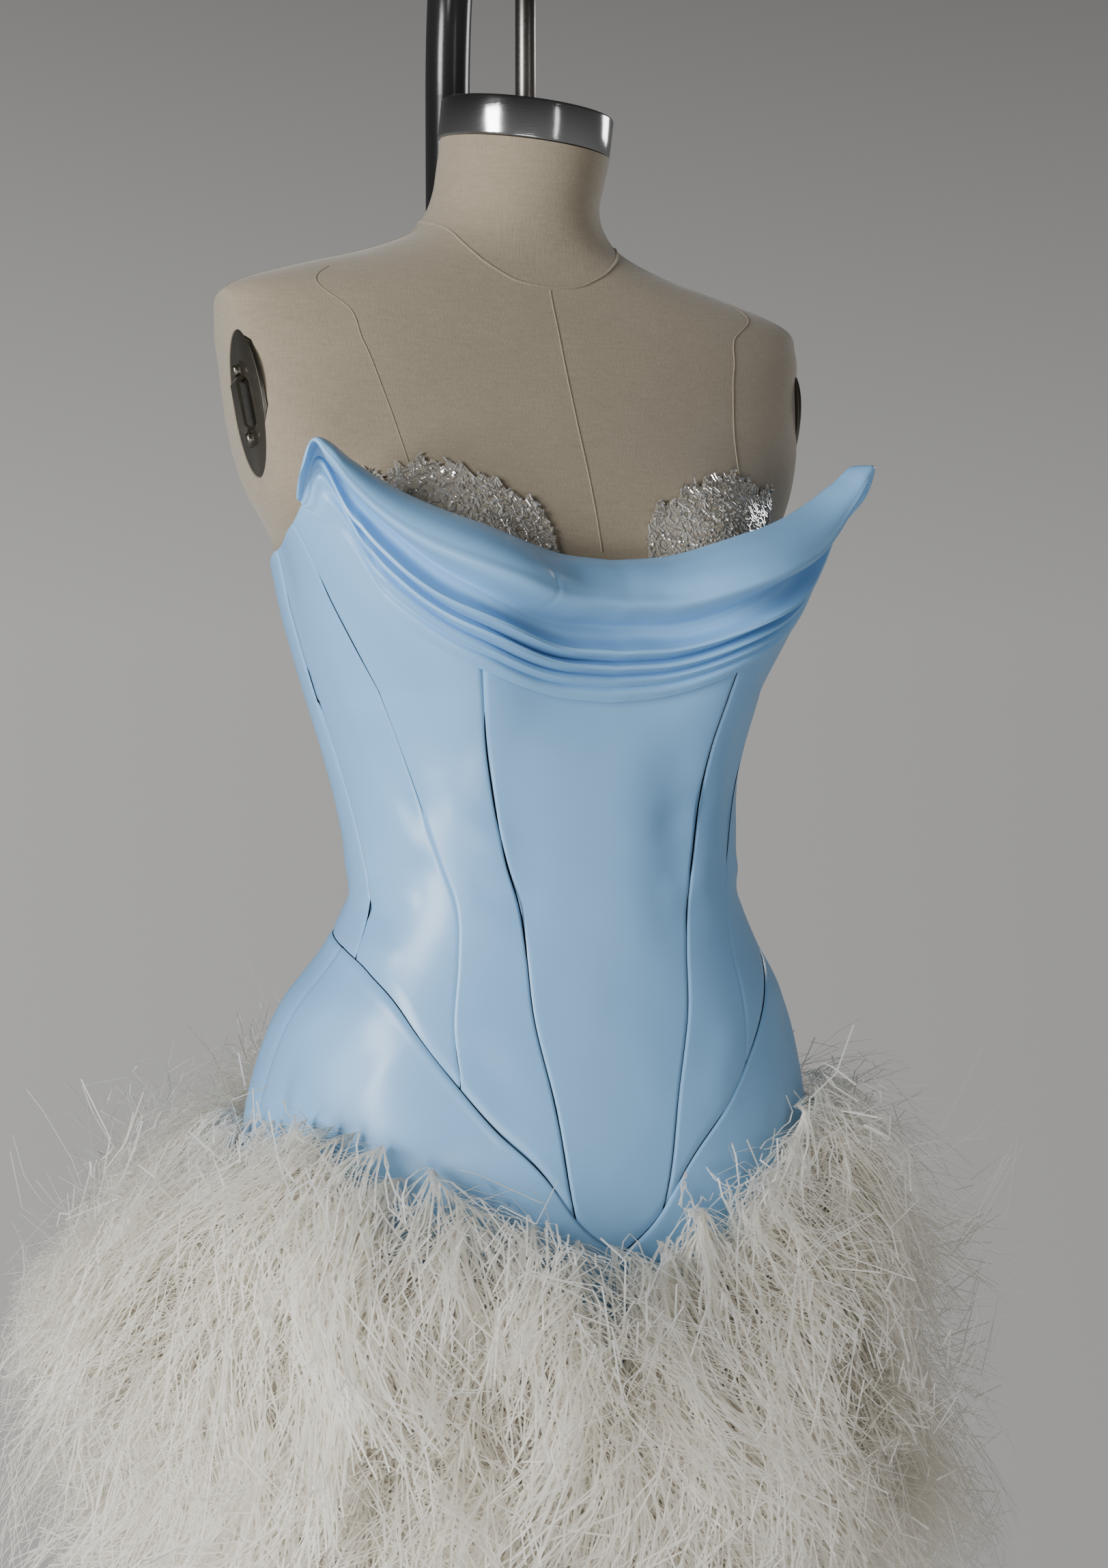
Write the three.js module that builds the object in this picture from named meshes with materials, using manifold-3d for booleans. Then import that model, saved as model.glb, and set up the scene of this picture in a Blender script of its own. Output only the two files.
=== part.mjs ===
// Corset mini dress with a draped cowl and a feather skirt, on a limbless dress form hung from its stand.
// Millimetres, +Z up, floor at z = 0. The form faces -Y, its right side is -X, and the hanging rod is on Z.
import * as THREE from 'three';
import { mergeVertices } from 'three/addons/utils/BufferGeometryUtils.js';
import Module from 'manifold-3d';

const wasm = await Module();
wasm.setup();

// ---------------------------------------------------------------- driving sizes
const SEAM_GAP = 0.3;
const CLOTH = { wall: 1.8, clear: 3 };
const LACE = { wall: 1.2, clear: 1.0 };
const FORM = { bottom: 742, neckTop: 1477.4, sideLean: 0.394, columns: 40 };
const BUST = { x: 82, width: 38 };
const WING = { angle: 53, spread: 38, reach: 44, from: 1165, to: 1293, power: 1.1 };
const SKIRT = { hem: 690, ease: 8, easeFrom: 900, easeOver: 200 };
const LACE_SPAN = { from: 8, to: 47, scallopDepth: 3, scallops: 28 };
const ZIP = {
  z: 1194, width: 6, depth: 2.4, height: 9, ear: 1, earDepth: 3.6, earHeight: 3.4,
  tabLength: 20, tabWidth: 3, tab: 0.9, barrel: 1.1, running: 0.4, above: 2.6, stand: 0.2,
};
const CAP = { radius: 50.2, height: 22, boreDepth: 12 };
const ARM_PLATE = {
  floor: 165.5, y: -4, z: 1322, halfWidth: 26, halfHeight: 40, thick: 3, tilt: 0.16, running: 0.6, reach: 60,
};
const STRAP = { length: 46, stand: 6, foot: 10, plate: 2, wide: 11, sunk: 0.5, turn: -0.12 };
const BOLT = { radius: 3.4, height: 3, sunk: 0.1, inset: 4 };
const ROD = { radius: 6, running: 0.3 };
const POLE = { radius: 16.5, x: 87, y: 335, bend: 1600, socket: 18 };
const BASE = { radius: 300, thick: 8, x: 45, y: 160 };
const FEATHERS = {
  tiers: 4, locks: 38, centreY: 34, lockRoot: 0.34, stripHeight: 8, stripWall: 2, stripClear: 0.8,
  lowestRoot: 745, lowestTip: 662, fall: 105, lift: 14, bend: 0.6, backShare: 0.95,
};
// How much the locks differ from one another: in length, in height and to the side.
const LOCK_SPREAD = { reach: 0.015, height: 4, side: 4 };

// ---------------------------------------------------------------- tables
const table = (names, rows) => Object.fromEntries(names.split(' ').map((n, k) => [n, rows.map((r) => r[k])]));

// Level sections of the figure: half width, front and back in y, y of the widest point, squareness,
// how far the bust stands out, and how much it leans (the neck rises towards the back and the right).
const FIGURE = table('z half front back wide square bust lean', [
  [640, 150, -106, 112, 0, 2.3, 0, 0],
  [700, 154, -108, 114, 0, 2.3, 0, 0],
  [760, 158, -111, 117, -1, 2.3, 0, 0],
  [820, 163, -116, 122, -3, 2.3, 0, 0],
  [870, 166, -120, 123, -4, 2.3, 0, 0],
  [912, 165, -121, 119, -6, 2.3, 0, 0],
  [950, 158, -118, 109, -9, 2.3, 0, 0],
  [985, 146, -114, 94, -17, 2.3, 0, 0],
  [1020, 122, -109, 75, -26, 2.3, 1, 0],
  [1050, 109, -106, 66, -26, 2.3, 3, 0],
  [1075, 110, -102, 66, -22, 2.3, 4, 0],
  [1100, 113, -100, 71, -16, 2.3, 5, 0],
  [1130, 119, -101, 81, -10, 2.3, 8, 0],
  [1169, 130, -106, 91, -7, 2.3, 16, 0],
  [1209, 141, -107, 98, -6, 2.3, 22, 0],
  [1250, 151, -97, 102, -6, 2.3, 15, 0],
  [1280, 167, -85, 102, -3, 2.3, 5, 0],
  [1313, 177, -69, 99, 1, 2.4, 0, 0],
  [1345, 180, -54, 93, 4, 2.5, 0, 0],
  [1370, 182, -43, 87, 6, 2.5, 0, 0],
  [1388, 174, -35, 82, 8, 2.4, 0, 0.01],
  [1400, 140, -31, 79, 10, 2.2, 0, 0.02],
  [1412, 98, -29, 77, 13, 2, 0, 0.04],
  [1424, 67.5, -30, 75, 15, 2, 0, 0.07],
  [1436, 54.5, -33, 72, 16, 2, 0, 0.1],
  [1450, 48.5, -37, 67, 14, 2, 0, 0.125],
  [1463, 48.5, -43, 59, 8, 2, 0, 0.14],
  [1477.4, 49.2, -48.2, 50.2, 1, 2, 0, 0.147],
]);
// Seams that run down the bodice: height and angle from the centre front, in degrees.
const FRONT_SEAM = table('z angle', [
  [870, 6], [891, 7.5], [948, 11], [1022, 20], [1070, 27], [1124, 30.5], [1240, 32],
]);
const PRINCESS_SEAM = table('z angle', [
  [960, 30], [990, 34], [1032, 41], [1081, 50], [1126, 56], [1180, 62], [1260, 66],
]);
const SIDE_SEAM = table('z angle', [[1010, 76], [1039, 82], [1089, 87], [1126, 89], [1250, 91]]);
const BACK_SEAM = table('z angle', [[1020, 150], [1060, 146], [1120, 142], [1220, 136]]);
// Edges that run round the dress: angle and height.
const BASQUE = table('angle z', [
  [0, 860], [6, 878], [12, 905], [22, 933], [32, 960], [46, 990],
  [68, 1013], [90, 1023], [130, 1028], [180, 1026],
]);
const BODICE_TOP = table('angle z', [
  [0, 1224], [12, 1227], [25, 1236], [36, 1252], [43, 1268], [49, 1284], [56, 1267],
  [62, 1257], [72, 1249], [90, 1243], [110, 1233], [145, 1216], [180, 1208],
]);
const COWL_TOP = table('angle z', [
  [0, 1234.5], [12, 1238], [25, 1249], [32, 1258], [38, 1269],
  [44, 1282], [49, 1292], [53, 1278], [58, 1264],
]);
const COWL_BOTTOM = table('angle z', [
  [0, 1159], [12, 1162], [28, 1173], [41, 1189], [50, 1210], [55, 1234], [58, 1256],
]);
const FEATHER_LINE = table('angle z', [
  [0, 845], [14, 862], [35, 885], [60, 903], [90, 918], [140, 925], [180, 925],
]);
const LACE_BOTTOM = table('angle z', [
  [8, 1227], [14, 1230], [20, 1234.5], [25, 1238], [36, 1243], [47, 1248],
]);
const LACE_TOP = table('angle z', [
  [8, 1238], [9, 1255], [13, 1270], [16, 1276], [19, 1281],
  [25, 1287], [30, 1289], [36, 1286], [41, 1281], [47, 1286],
]);
// Folds of the cowl from its lower edge (0) to its upper edge (1): how far the cloth stands off the figure.
const FOLDS = table('across out', [
  [0, 6.6], [0.07, 8.2], [0.1, 7], [0.15, 11], [0.19, 8], [0.24, 14.5], [0.29, 10], [0.345, 18], [0.4, 12],
  [0.5, 13], [0.585, 17.5], [0.64, 25], [0.75, 27], [0.88, 23.5], [0.96, 17.5], [1, 12],
]);
// The folds crowd upwards and flatten as they run out to the wings.
const FOLD_CROWD = table('angle power', [
  [0, 1], [30, 1], [38, 0.87], [42, 0.73], [48, 0.55], [53, 0.7], [58, 1],
]);
const FOLD_FADE = table('angle share', [[0, 1], [28, 1], [44, 0.75], [50, 0.42], [54, 0.12], [58, 0]]);
const COWL_ANGLES = [0, 5, 10, 14.5, 19, 23, 27, 31, 35, 38.5, 42, 45, 47.5, 49, 51, 53, 55.5, 58];
// How far out each feather tier reaches, from the top one down.
const TIER_REACH = [288, 292, 280, 260];
// Sections of a lock: where along it, how wide and how thick.
const LOCK_SECTIONS = [[0.3, 17, 6], [0.7, 14, 5]];

// ---------------------------------------------------------------- curves and surfaces
const rad = THREE.MathUtils.degToRad;
const lerp = THREE.MathUtils.lerp;
const clamp = THREE.MathUtils.clamp;

/** A smooth curve through the points of two columns, flat beyond its ends. */
function curve(xs, ys) {
  const last = xs.length - 1;
  const rise = (i) => (ys[i + 1] - ys[i]) / (xs[i + 1] - xs[i]);
  const slope = ys.map((_, i) => {
    if (i === 0) return rise(0);
    if (i === last) return rise(last - 1);
    const before = xs[i] - xs[i - 1];
    const after = xs[i + 1] - xs[i];
    return (rise(i - 1) * after + rise(i) * before) / (before + after);
  });
  return (x) => {
    let i = 0;
    while (i < last - 1 && x > xs[i + 1]) i += 1;
    const width = xs[i + 1] - xs[i];
    const t = clamp((x - xs[i]) / width, 0, 1);
    const s = 1 - t;
    return (1 + 2 * t) * s * s * ys[i] + t * s * s * width * slope[i]
      + t * t * (3 - 2 * t) * ys[i + 1] - t * t * s * width * slope[i + 1];
  };
}

const figure = Object.fromEntries(Object.keys(FIGURE).map((n) => [n, curve(FIGURE.z, FIGURE[n])]));
const seamAt = (t) => curve(t.z, t.angle);
const edgeAt = (t) => {
  const line = curve(t.angle, t.z);
  return (angle) => line(Math.abs(angle));
};
const frontSeam = seamAt(FRONT_SEAM);
const princessSeam = seamAt(PRINCESS_SEAM);
const sideSeam = seamAt(SIDE_SEAM);
const backSeam = seamAt(BACK_SEAM);
const basque = edgeAt(BASQUE);
const bodiceTop = edgeAt(BODICE_TOP);
const cowlTop = edgeAt(COWL_TOP);
const cowlBottom = edgeAt(COWL_BOTTOM);
const featherLine = edgeAt(FEATHER_LINE);
const laceTop = edgeAt(LACE_TOP);
const laceBottom = edgeAt(LACE_BOTTOM);
const foldOut = curve(FOLDS.across, FOLDS.out);
const foldCrowd = curve(FOLD_CROWD.angle, FOLD_CROWD.power);
const foldFade = curve(FOLD_FADE.angle, FOLD_FADE.share);

/** A point on the figure, at an angle from the centre front in degrees and at a level. */
function figurePoint(angle, z) {
  const s = Math.sin(rad(angle));
  const c = Math.cos(rad(angle));
  const power = 2 / figure.square(z);
  const wide = figure.wide(z);
  const depth = c > 0 ? wide - figure.front(z) : figure.back(z) - wide;
  const x = figure.half(z) * Math.sign(s) * Math.abs(s) ** power;
  let y = wide - depth * Math.sign(c) * Math.abs(c) ** power;
  if (c > 0) y -= figure.bust(z) * Math.exp(-(((Math.abs(x) - BUST.x) / BUST.width) ** 2));
  return new THREE.Vector3(x, y, z + figure.lean(z) * (y - wide - FORM.sideLean * x));
}

/** The level direction that points straight out of the figure. */
function outward(angle, z) {
  const step = 0.4;
  const along = figurePoint(angle + step, z).sub(figurePoint(angle - step, z));
  return new THREE.Vector3(along.y, -along.x, 0).normalize();
}

/** How far the bodice stands off towards the tip of each wing. */
function wing(angle, z) {
  const near = clamp(1 - Math.abs(Math.abs(angle) - WING.angle) / WING.spread, 0, 1);
  const high = clamp((z - WING.from) / (WING.to - WING.from), 0, 1.1) ** WING.power;
  return WING.reach * near * near * (3 - 2 * near) * high;
}

const dressPoint = (angle, z, out) => figurePoint(angle, z)
  .addScaledVector(outward(angle, z), out + wing(angle, z));
const skinPoint = (angle, z, out) => figurePoint(angle, z).addScaledVector(outward(angle, z), out);
/** The skirt hangs straighter than the thighs, so it stands off more towards the hem. */
const skirtPoint = (angle, z, out) => skinPoint(
  angle,
  z,
  out + SKIRT.ease * clamp((SKIRT.easeFrom - z) / SKIRT.easeOver, 0, 1),
);

// ---------------------------------------------------------------- solids
/** A closed solid from its points and its triangles. */
function solid(points, triangles) {
  const geometry = new THREE.BufferGeometry();
  geometry.setAttribute('position', new THREE.Float32BufferAttribute(points.flatMap((p) => p.toArray()), 3));
  geometry.setIndex(triangles.flat());
  return geometry;
}

/**
 * A cloth wall closed along its four edges. `surface(a, b)` is its middle, and `places[row][column]` holds
 * the [a, b] of each point, so that panels which meet at a seam share their normals there.
 */
function clothWall(surface, places, wall) {
  const step = 0.004;
  const levels = places.length;
  const columns = places[0].length;
  const faces = [[], []];
  places.flat().forEach(([a, b]) => {
    const point = surface(a, b);
    const along = surface(a + step, b).sub(surface(a - step, b));
    const up = surface(a, b + step).sub(surface(a, b - step));
    const normal = along.cross(up).normalize();
    faces[0].push(point.clone().addScaledVector(normal, wall / 2));
    faces[1].push(point.clone().addScaledVector(normal, -wall / 2));
  });
  const count = levels * columns;
  const triangles = [];
  const quad = (a, b, c, d) => triangles.push([a, b, c], [a, c, d]);
  for (let j = 0; j < levels - 1; j += 1) {
    for (let i = 0; i < columns - 1; i += 1) {
      const a = j * columns + i;
      const d = a + columns;
      quad(a, a + 1, d + 1, d);
      triangles.push([count + a, count + d + 1, count + a + 1], [count + a, count + d, count + d + 1]);
    }
  }
  for (let i = 0; i < columns - 1; i += 1) {
    const top = (levels - 1) * columns + i;
    quad(count + i, count + i + 1, i + 1, i);
    quad(top, top + 1, count + top + 1, count + top);
  }
  for (let j = 0; j < levels - 1; j += 1) {
    const left = j * columns;
    const right = left + columns - 1;
    quad(count + left, left, left + columns, count + left + columns);
    quad(right, count + right, count + right + columns, right + columns);
  }
  return solid([...faces[0], ...faces[1]], triangles);
}

/** A closed stack of rings with flat ends; the rings run anticlockwise seen from the far end. */
function stack(rings) {
  const n = rings[0].length;
  const triangles = [];
  rings.slice(1).forEach((_, j) => {
    for (let i = 0; i < n; i += 1) {
      const a = j * n + i;
      const b = j * n + ((i + 1) % n);
      triangles.push([a, b, b + n], [a, b + n, a + n]);
    }
  });
  const last = (rings.length - 1) * n;
  for (let i = 1; i < n - 1; i += 1) {
    triangles.push([0, i + 1, i], [last, last + i, last + i + 1]);
  }
  return solid(rings.flat(), triangles);
}

const rows = (from, to, count) => Array.from({ length: count + 1 }, (_, k) => lerp(from, to, k / count));

/** Only positions, shared at corners, as the joining library wants them. */
function welded(geometry) {
  const bare = geometry.clone();
  bare.deleteAttribute('normal');
  bare.deleteAttribute('uv');
  return mergeVertices(bare, 1e-4);
}

function toManifold(geometry) {
  const bare = welded(geometry);
  return new wasm.Manifold(new wasm.Mesh({
    numProp: 3,
    vertProperties: new Float32Array(bare.attributes.position.array),
    triVerts: new Uint32Array(bare.index.array),
  }));
}

function fromManifold(manifold) {
  const { vertProperties, triVerts, numProp } = manifold.getMesh();
  const points = Array.from({ length: vertProperties.length / numProp }, (_, i) => new THREE.Vector3()
    .fromArray(vertProperties, i * numProp));
  return solid(points, [Array.from(triVerts)]);
}

const join = (...parts) => fromManifold(parts.map(toManifold).reduce((whole, part) => whole.add(part)));
const cut = (whole, ...tools) => fromManifold(tools.map(toManifold)
  .reduce((rest, tool) => rest.subtract(tool), toManifold(whole)));

/** A cylinder that stands upright, with its centre given. */
const upright = (radius, height, sides, x, y, z) => new THREE.CylinderGeometry(radius, radius, height, sides)
  .rotateX(Math.PI / 2).translate(x, y, z);
const box = (wide, deep, high, x, y, z) => new THREE.BoxGeometry(wide, deep, high).translate(x, y, z);

// ---------------------------------------------------------------- dress form
/** Puts a piece made on the left side's armhole in place, or its mirror image on the right side. */
function onArm(geometry, side) {
  const { floor, y, z, tilt } = ARM_PLATE;
  const placed = welded(geometry).rotateY(tilt).translate(floor, y, z);
  if (side > 0) return placed;
  placed.scale(-1, 1, 1);
  const index = placed.index.array;
  for (let i = 0; i < index.length; i += 3) [index[i], index[i + 1]] = [index[i + 1], index[i]];
  return placed;
}

/** An oval disc that faces along X, from one depth to another. */
const ovalDisc = (grow, from, to) => new THREE.CylinderGeometry(1, 1, to - from, 24).rotateZ(-Math.PI / 2)
  .scale(1, ARM_PLATE.halfWidth + grow, ARM_PLATE.halfHeight + grow).translate((from + to) / 2, 0, 0);

/** The padded form, cut flat at each armhole, with an oval recess there for the plate. */
function formBody() {
  const angles = rows(-180, 180 - 360 / FORM.columns, FORM.columns - 1);
  const shoulders = FIGURE.z.slice(FIGURE.z.indexOf(1313));
  const levels = [...rows(FORM.bottom, 890, 3), ...rows(915, 1290, 16), ...shoulders];
  const body = stack(levels.map((z) => angles.map((angle) => figurePoint(angle, z))));
  const { running, reach, thick } = ARM_PLATE;
  const recess = ovalDisc(running, 0, reach);
  const flat = box(reach, 2 * reach, 2.5 * reach, reach / 2 + SEAM_GAP + thick, 0, 0);
  return cut(body, onArm(recess, -1), onArm(recess, 1), onArm(flat, -1), onArm(flat, 1));
}

/** The oval steel disc that closes each armhole, with the bent strap and its two bolts fixed across it. */
function armPlate(side) {
  const { length, stand, foot, plate, wide, sunk, turn } = STRAP;
  const disc = ovalDisc(0, SEAM_GAP, SEAM_GAP + ARM_PLATE.thick);
  const bolt = (height) => new THREE.CylinderGeometry(BOLT.radius, BOLT.radius, BOLT.height, 10)
    .rotateZ(Math.PI / 2).translate(plate + BOLT.height / 2 - BOLT.sunk, 0, height);
  const strap = join(
    box(plate, wide, foot, plate / 2, 0, length / 2 - foot / 2),
    box(plate, wide, foot, plate / 2, 0, foot / 2 - length / 2),
    box(stand, wide, plate, stand / 2, 0, length / 2 - foot),
    box(stand, wide, plate, stand / 2, 0, foot - length / 2),
    box(plate, wide, length - 2 * foot + plate, stand - plate / 2, 0, 0),
    bolt(length / 2 - BOLT.inset),
    bolt(BOLT.inset - length / 2),
  );
  return onArm(join(disc, strap.rotateX(turn).translate(SEAM_GAP + ARM_PLATE.thick - sunk, 0, 0)), side);
}

/** The round steel cap, square to the leaning neck, bored for the rod. */
function neckCap() {
  const lean = figure.lean(FORM.neckTop);
  const square = new THREE.Vector3(lean * FORM.sideLean, -lean, 1).normalize();
  const turn = new THREE.Quaternion().setFromUnitVectors(new THREE.Vector3(0, 0, 1), square);
  const middle = FORM.neckTop - lean * figure.wide(FORM.neckTop) + (SEAM_GAP + CAP.height / 2) / square.z;
  const disc = upright(CAP.radius, CAP.height, 36, 0, 0, 0).applyQuaternion(turn).translate(0, 0, middle);
  const bore = 2 * CAP.height;
  return cut(disc, upright(ROD.radius + ROD.running, bore, 16, 0, 0, rodFoot() + bore / 2));
}

function rodFoot() {
  return FORM.neckTop + CAP.height - CAP.boreDepth;
}

// ---------------------------------------------------------------- stand
/** The rod runs from the cap's bore up into the end of the gooseneck. */
function hangRod() {
  const foot = rodFoot() + SEAM_GAP;
  const top = POLE.bend + POLE.socket - SEAM_GAP;
  return upright(ROD.radius, top - foot, 14, 0, 0, (foot + top) / 2);
}

function standPole() {
  const foot = BASE.thick + SEAM_GAP;
  const top = POLE.bend - SEAM_GAP;
  return upright(POLE.radius, top - foot, 14, POLE.x, POLE.y, (foot + top) / 2);
}

/** Half a ring from the pole's top over to the axis, where its end is bored for the rod. */
function gooseneck() {
  const span = Math.hypot(POLE.x, POLE.y);
  const sides = 12;
  const across = new THREE.Vector3(POLE.x, POLE.y, 0).divideScalar(span);
  const level = new THREE.Vector3(across.y, -across.x, 0);
  const rings = rows(0, Math.PI, 16).map((turn) => {
    const spoke = across.clone().multiplyScalar(Math.cos(turn)).add(new THREE.Vector3(0, 0, Math.sin(turn)));
    const centre = across.clone().multiplyScalar(span / 2).addScaledVector(spoke, span / 2);
    centre.z += POLE.bend;
    return Array.from({ length: sides }, (_, k) => {
      const a = (2 * Math.PI * k) / sides;
      return centre.clone().addScaledVector(spoke, POLE.radius * Math.cos(a))
        .addScaledVector(level, -POLE.radius * Math.sin(a));
    });
  });
  return cut(stack(rings), upright(ROD.radius + ROD.running, 2 * POLE.socket, 16, 0, 0, POLE.bend));
}

const standBase = () => upright(BASE.radius, BASE.thick, 48, BASE.x, BASE.y, BASE.thick / 2);

// ---------------------------------------------------------------- bodice and skirt
const BODICE_ROWS = 12;
const SKIRT_ROWS = [0, 0.22, 0.42, 0.58, 0.7, 0.8, 0.9, 1];
// Points nearer than this to a panel's edge are left out, in degrees.
const SKIRT_MARGIN = 1;
const midOut = CLOTH.clear + CLOTH.wall / 2;

/** The angle and level of a place in a bodice panel, `u` across it and `v` up it. */
function bodicePlace(left, right, u, v) {
  let z = 1100;
  let angle = 0;
  for (let turn = 0; turn < 14; turn += 1) {
    const width = dressPoint(right(z), z, midOut).distanceTo(dressPoint(left(z), z, midOut));
    const inset = SEAM_GAP / 2 / width;
    angle = lerp(left(z), right(z), lerp(inset, 1 - inset, u));
    z = lerp(basque(angle) + SEAM_GAP, bodiceTop(angle), v);
  }
  return [angle, z];
}

function bodicePanel(left, right, columns) {
  const places = rows(0, 1, BODICE_ROWS)
    .map((v) => rows(0, 1, columns).map((u) => bodicePlace(left, right, u, v)));
  return clothWall((angle, z) => dressPoint(angle, z, midOut), places, CLOTH.wall);
}

const mirrored = (seam) => (z) => -seam(z);
const centreBack = () => 180;
const RIGHT_SIDE_PANELS = [
  ['front', frontSeam, princessSeam, 8],
  ['side_front', princessSeam, sideSeam, 4],
  ['side', sideSeam, backSeam, 5],
  ['back', backSeam, centreBack, 4],
];

/** The angles at which the bodice's points meet the basque seam, from centre front to centre back. */
function basqueAngles() {
  const centre = rows(0.5, 1, 4).map((u) => bodicePlace(mirrored(frontSeam), frontSeam, u, 0)[0]);
  const others = RIGHT_SIDE_PANELS.flatMap(([, left, right, columns]) => rows(0, 1, columns)
    .map((u) => bodicePlace(left, right, u, 0)[0]));
  return [...centre, ...others];
}

/** A skirt panel between two angles, hung from the basque seam. */
function skirtPanel(from, to) {
  const half = basqueAngles();
  const round = [...half.slice(1).map((a) => -a).reverse(), ...half];
  const gap = THREE.MathUtils.radToDeg(SEAM_GAP / 2 / FIGURE.half[0]);
  const inside = round.filter((a) => a > from + SKIRT_MARGIN && a < to - SKIRT_MARGIN);
  const angles = [from + gap, ...inside, to - gap];
  const spaced = angles.filter((a, i) => i === 0 || a - angles[i - 1] > SKIRT_MARGIN / 2);
  const places = SKIRT_ROWS.map((v) => spaced
    .map((angle) => [angle, lerp(SKIRT.hem, basque(angle) - SEAM_GAP, v)]));
  return clothWall((angle, z) => skirtPoint(angle, z, midOut), places, CLOTH.wall);
}

// ---------------------------------------------------------------- cowl and lace
function cowlPoint(angle, across) {
  const from = Math.abs(angle);
  const z = lerp(cowlBottom(angle), cowlTop(angle), clamp(across, 0, 1) ** foldCrowd(from));
  const flat = FOLDS.out[0];
  return dressPoint(angle, z, flat + (foldOut(across) - flat) * foldFade(from));
}

function cowl() {
  const angles = [...COWL_ANGLES.slice(1).map((a) => -a).reverse(), ...COWL_ANGLES];
  const places = FOLDS.across.map((across) => angles.map((angle) => [angle, across]));
  return clothWall(cowlPoint, places, CLOTH.wall);
}

/** A beaded lace piece, scalloped along its upper edge, lying on the form behind the cowl. */
function lace(side) {
  const { from, to, scallopDepth, scallops } = LACE_SPAN;
  const steps = rows(from, to, 16);
  const scallop = (angle) => scallopDepth * Math.abs(Math.sin(rad((angle - from) * scallops)));
  const columns = side < 0 ? steps.map((a) => -a).reverse() : steps;
  const places = rows(0, 1, 4).map((v) => columns.map((angle) => {
    const top = laceTop(angle) - scallopDepth + scallop(Math.abs(angle));
    return [angle, lerp(laceBottom(angle), top, v)];
  }));
  return clothWall((angle, z) => skinPoint(angle, z, LACE.clear + LACE.wall / 2), places, LACE.wall);
}

// ---------------------------------------------------------------- feathers
/** An angle brought between -180 and 180 degrees. */
const wrapped = (angle) => ((angle + 540) % 360) - 180;

/** Repeatable unevenness between -1 and 1. */
const uneven = (a, b) => Math.sin(12.9898 * a + 78.233 * b + 37.7 * Math.sin(3.1 * a - 1.7 * b));

const lastTier = FEATHERS.tiers - 1;
const tierRoot = (angle, tier) => lerp(featherLine(angle), FEATHERS.lowestRoot, tier / lastTier);
const stripBack = CLOTH.clear + CLOTH.wall + FEATHERS.stripClear;
const stripPoint = (angle, z, out) => skirtPoint(angle, z, stripBack + out);

/** The sections and the tip of a four-sided lock that springs from the strip, arches out and hangs. */
function featherLock(tier, index, angle) {
  const { centreY, stripWall, lift, bend, backShare, lowestTip, fall } = FEATHERS;
  const root = stripPoint(angle, tierRoot(angle, tier), stripWall);
  const away = new THREE.Vector3(root.x, root.y - centreY, 0).normalize();
  const side = new THREE.Vector3(-away.y, away.x, 0);
  const rear = lerp(1, backShare, clamp(-Math.cos(rad(angle)), 0, 1));
  const reach = TIER_REACH[tier] * rear * (1 + LOCK_SPREAD.reach * uneven(index, tier));
  const level = lerp(featherLine(angle) - fall, lowestTip, tier / lastTier);
  const tip = new THREE.Vector3(0, centreY, level + LOCK_SPREAD.height * uneven(index + 9, tier))
    .addScaledVector(away, reach).addScaledVector(side, LOCK_SPREAD.side * uneven(index + 4, tier));
  const crest = new THREE.Vector3(0, 0, lift).add(root).addScaledVector(away, bend * root.distanceTo(tip));
  const arch = new THREE.QuadraticBezierCurve3(root, crest, tip);
  const sections = LOCK_SECTIONS.map(([t, wide, thick]) => {
    const up = arch.getTangent(t).cross(side).normalize();
    return [[-0.5, -0.5], [0.5, -0.5], [0.5, 0.5], [-0.5, 0.5]].map(([a, b]) => arch.getPoint(t)
      .addScaledVector(side, a * wide).addScaledVector(up, b * thick));
  });
  return { sections, tip };
}

/** One tier: a narrow strip right round the skirt, with its locks grown out of its outer face. */
function featherTier(tier) {
  const n = FEATHERS.locks;
  const pitch = 360 / n;
  const half = FEATHERS.stripHeight / 2;
  const turn = (tier % 2) * 0.5 * pitch;
  const corners = [[FEATHERS.stripWall, -half], [FEATHERS.stripWall, half], [0, half], [0, -half]];
  const points = [];
  const triangles = [];
  const quad = (a, b, c, d) => triangles.push([a, b, c], [a, c, d]);
  for (let i = 0; i < n; i += 1) {
    for (const share of [-FEATHERS.lockRoot / 2, FEATHERS.lockRoot / 2]) {
      const angle = wrapped(turn + (i + 0.5 + share) * pitch);
      const z = tierRoot(angle, tier);
      points.push(...corners.map(([out, rise]) => stripPoint(angle, z + rise, out)));
    }
  }
  for (let i = 0; i < 2 * n; i += 1) {
    const next = (i + 1) % (2 * n);
    for (let k = 0; k < 4; k += 1) {
      const after = (k + 1) % 4;
      // The outer face is left open where a lock grows out of it.
      if (k === 0 && i % 2 === 0) continue;
      quad(4 * i + k, 4 * next + k, 4 * next + after, 4 * i + after);
    }
  }
  for (let i = 0; i < n; i += 1) {
    const { sections, tip } = featherLock(tier, i, wrapped(turn + (i + 0.5) * pitch));
    let ring = [8 * i, 8 * i + 4, 8 * i + 5, 8 * i + 1];
    for (const section of sections) {
      const next = section.map((_, k) => points.length + k);
      points.push(...section);
      for (let k = 0; k < 4; k += 1) {
        const after = (k + 1) % 4;
        quad(ring[k], ring[after], next[after], next[k]);
      }
      ring = next;
    }
    points.push(tip);
    for (let k = 0; k < 4; k += 1) {
      triangles.push([ring[k], ring[(k + 1) % 4], points.length - 1]);
    }
  }
  return solid(points, triangles);
}

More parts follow.
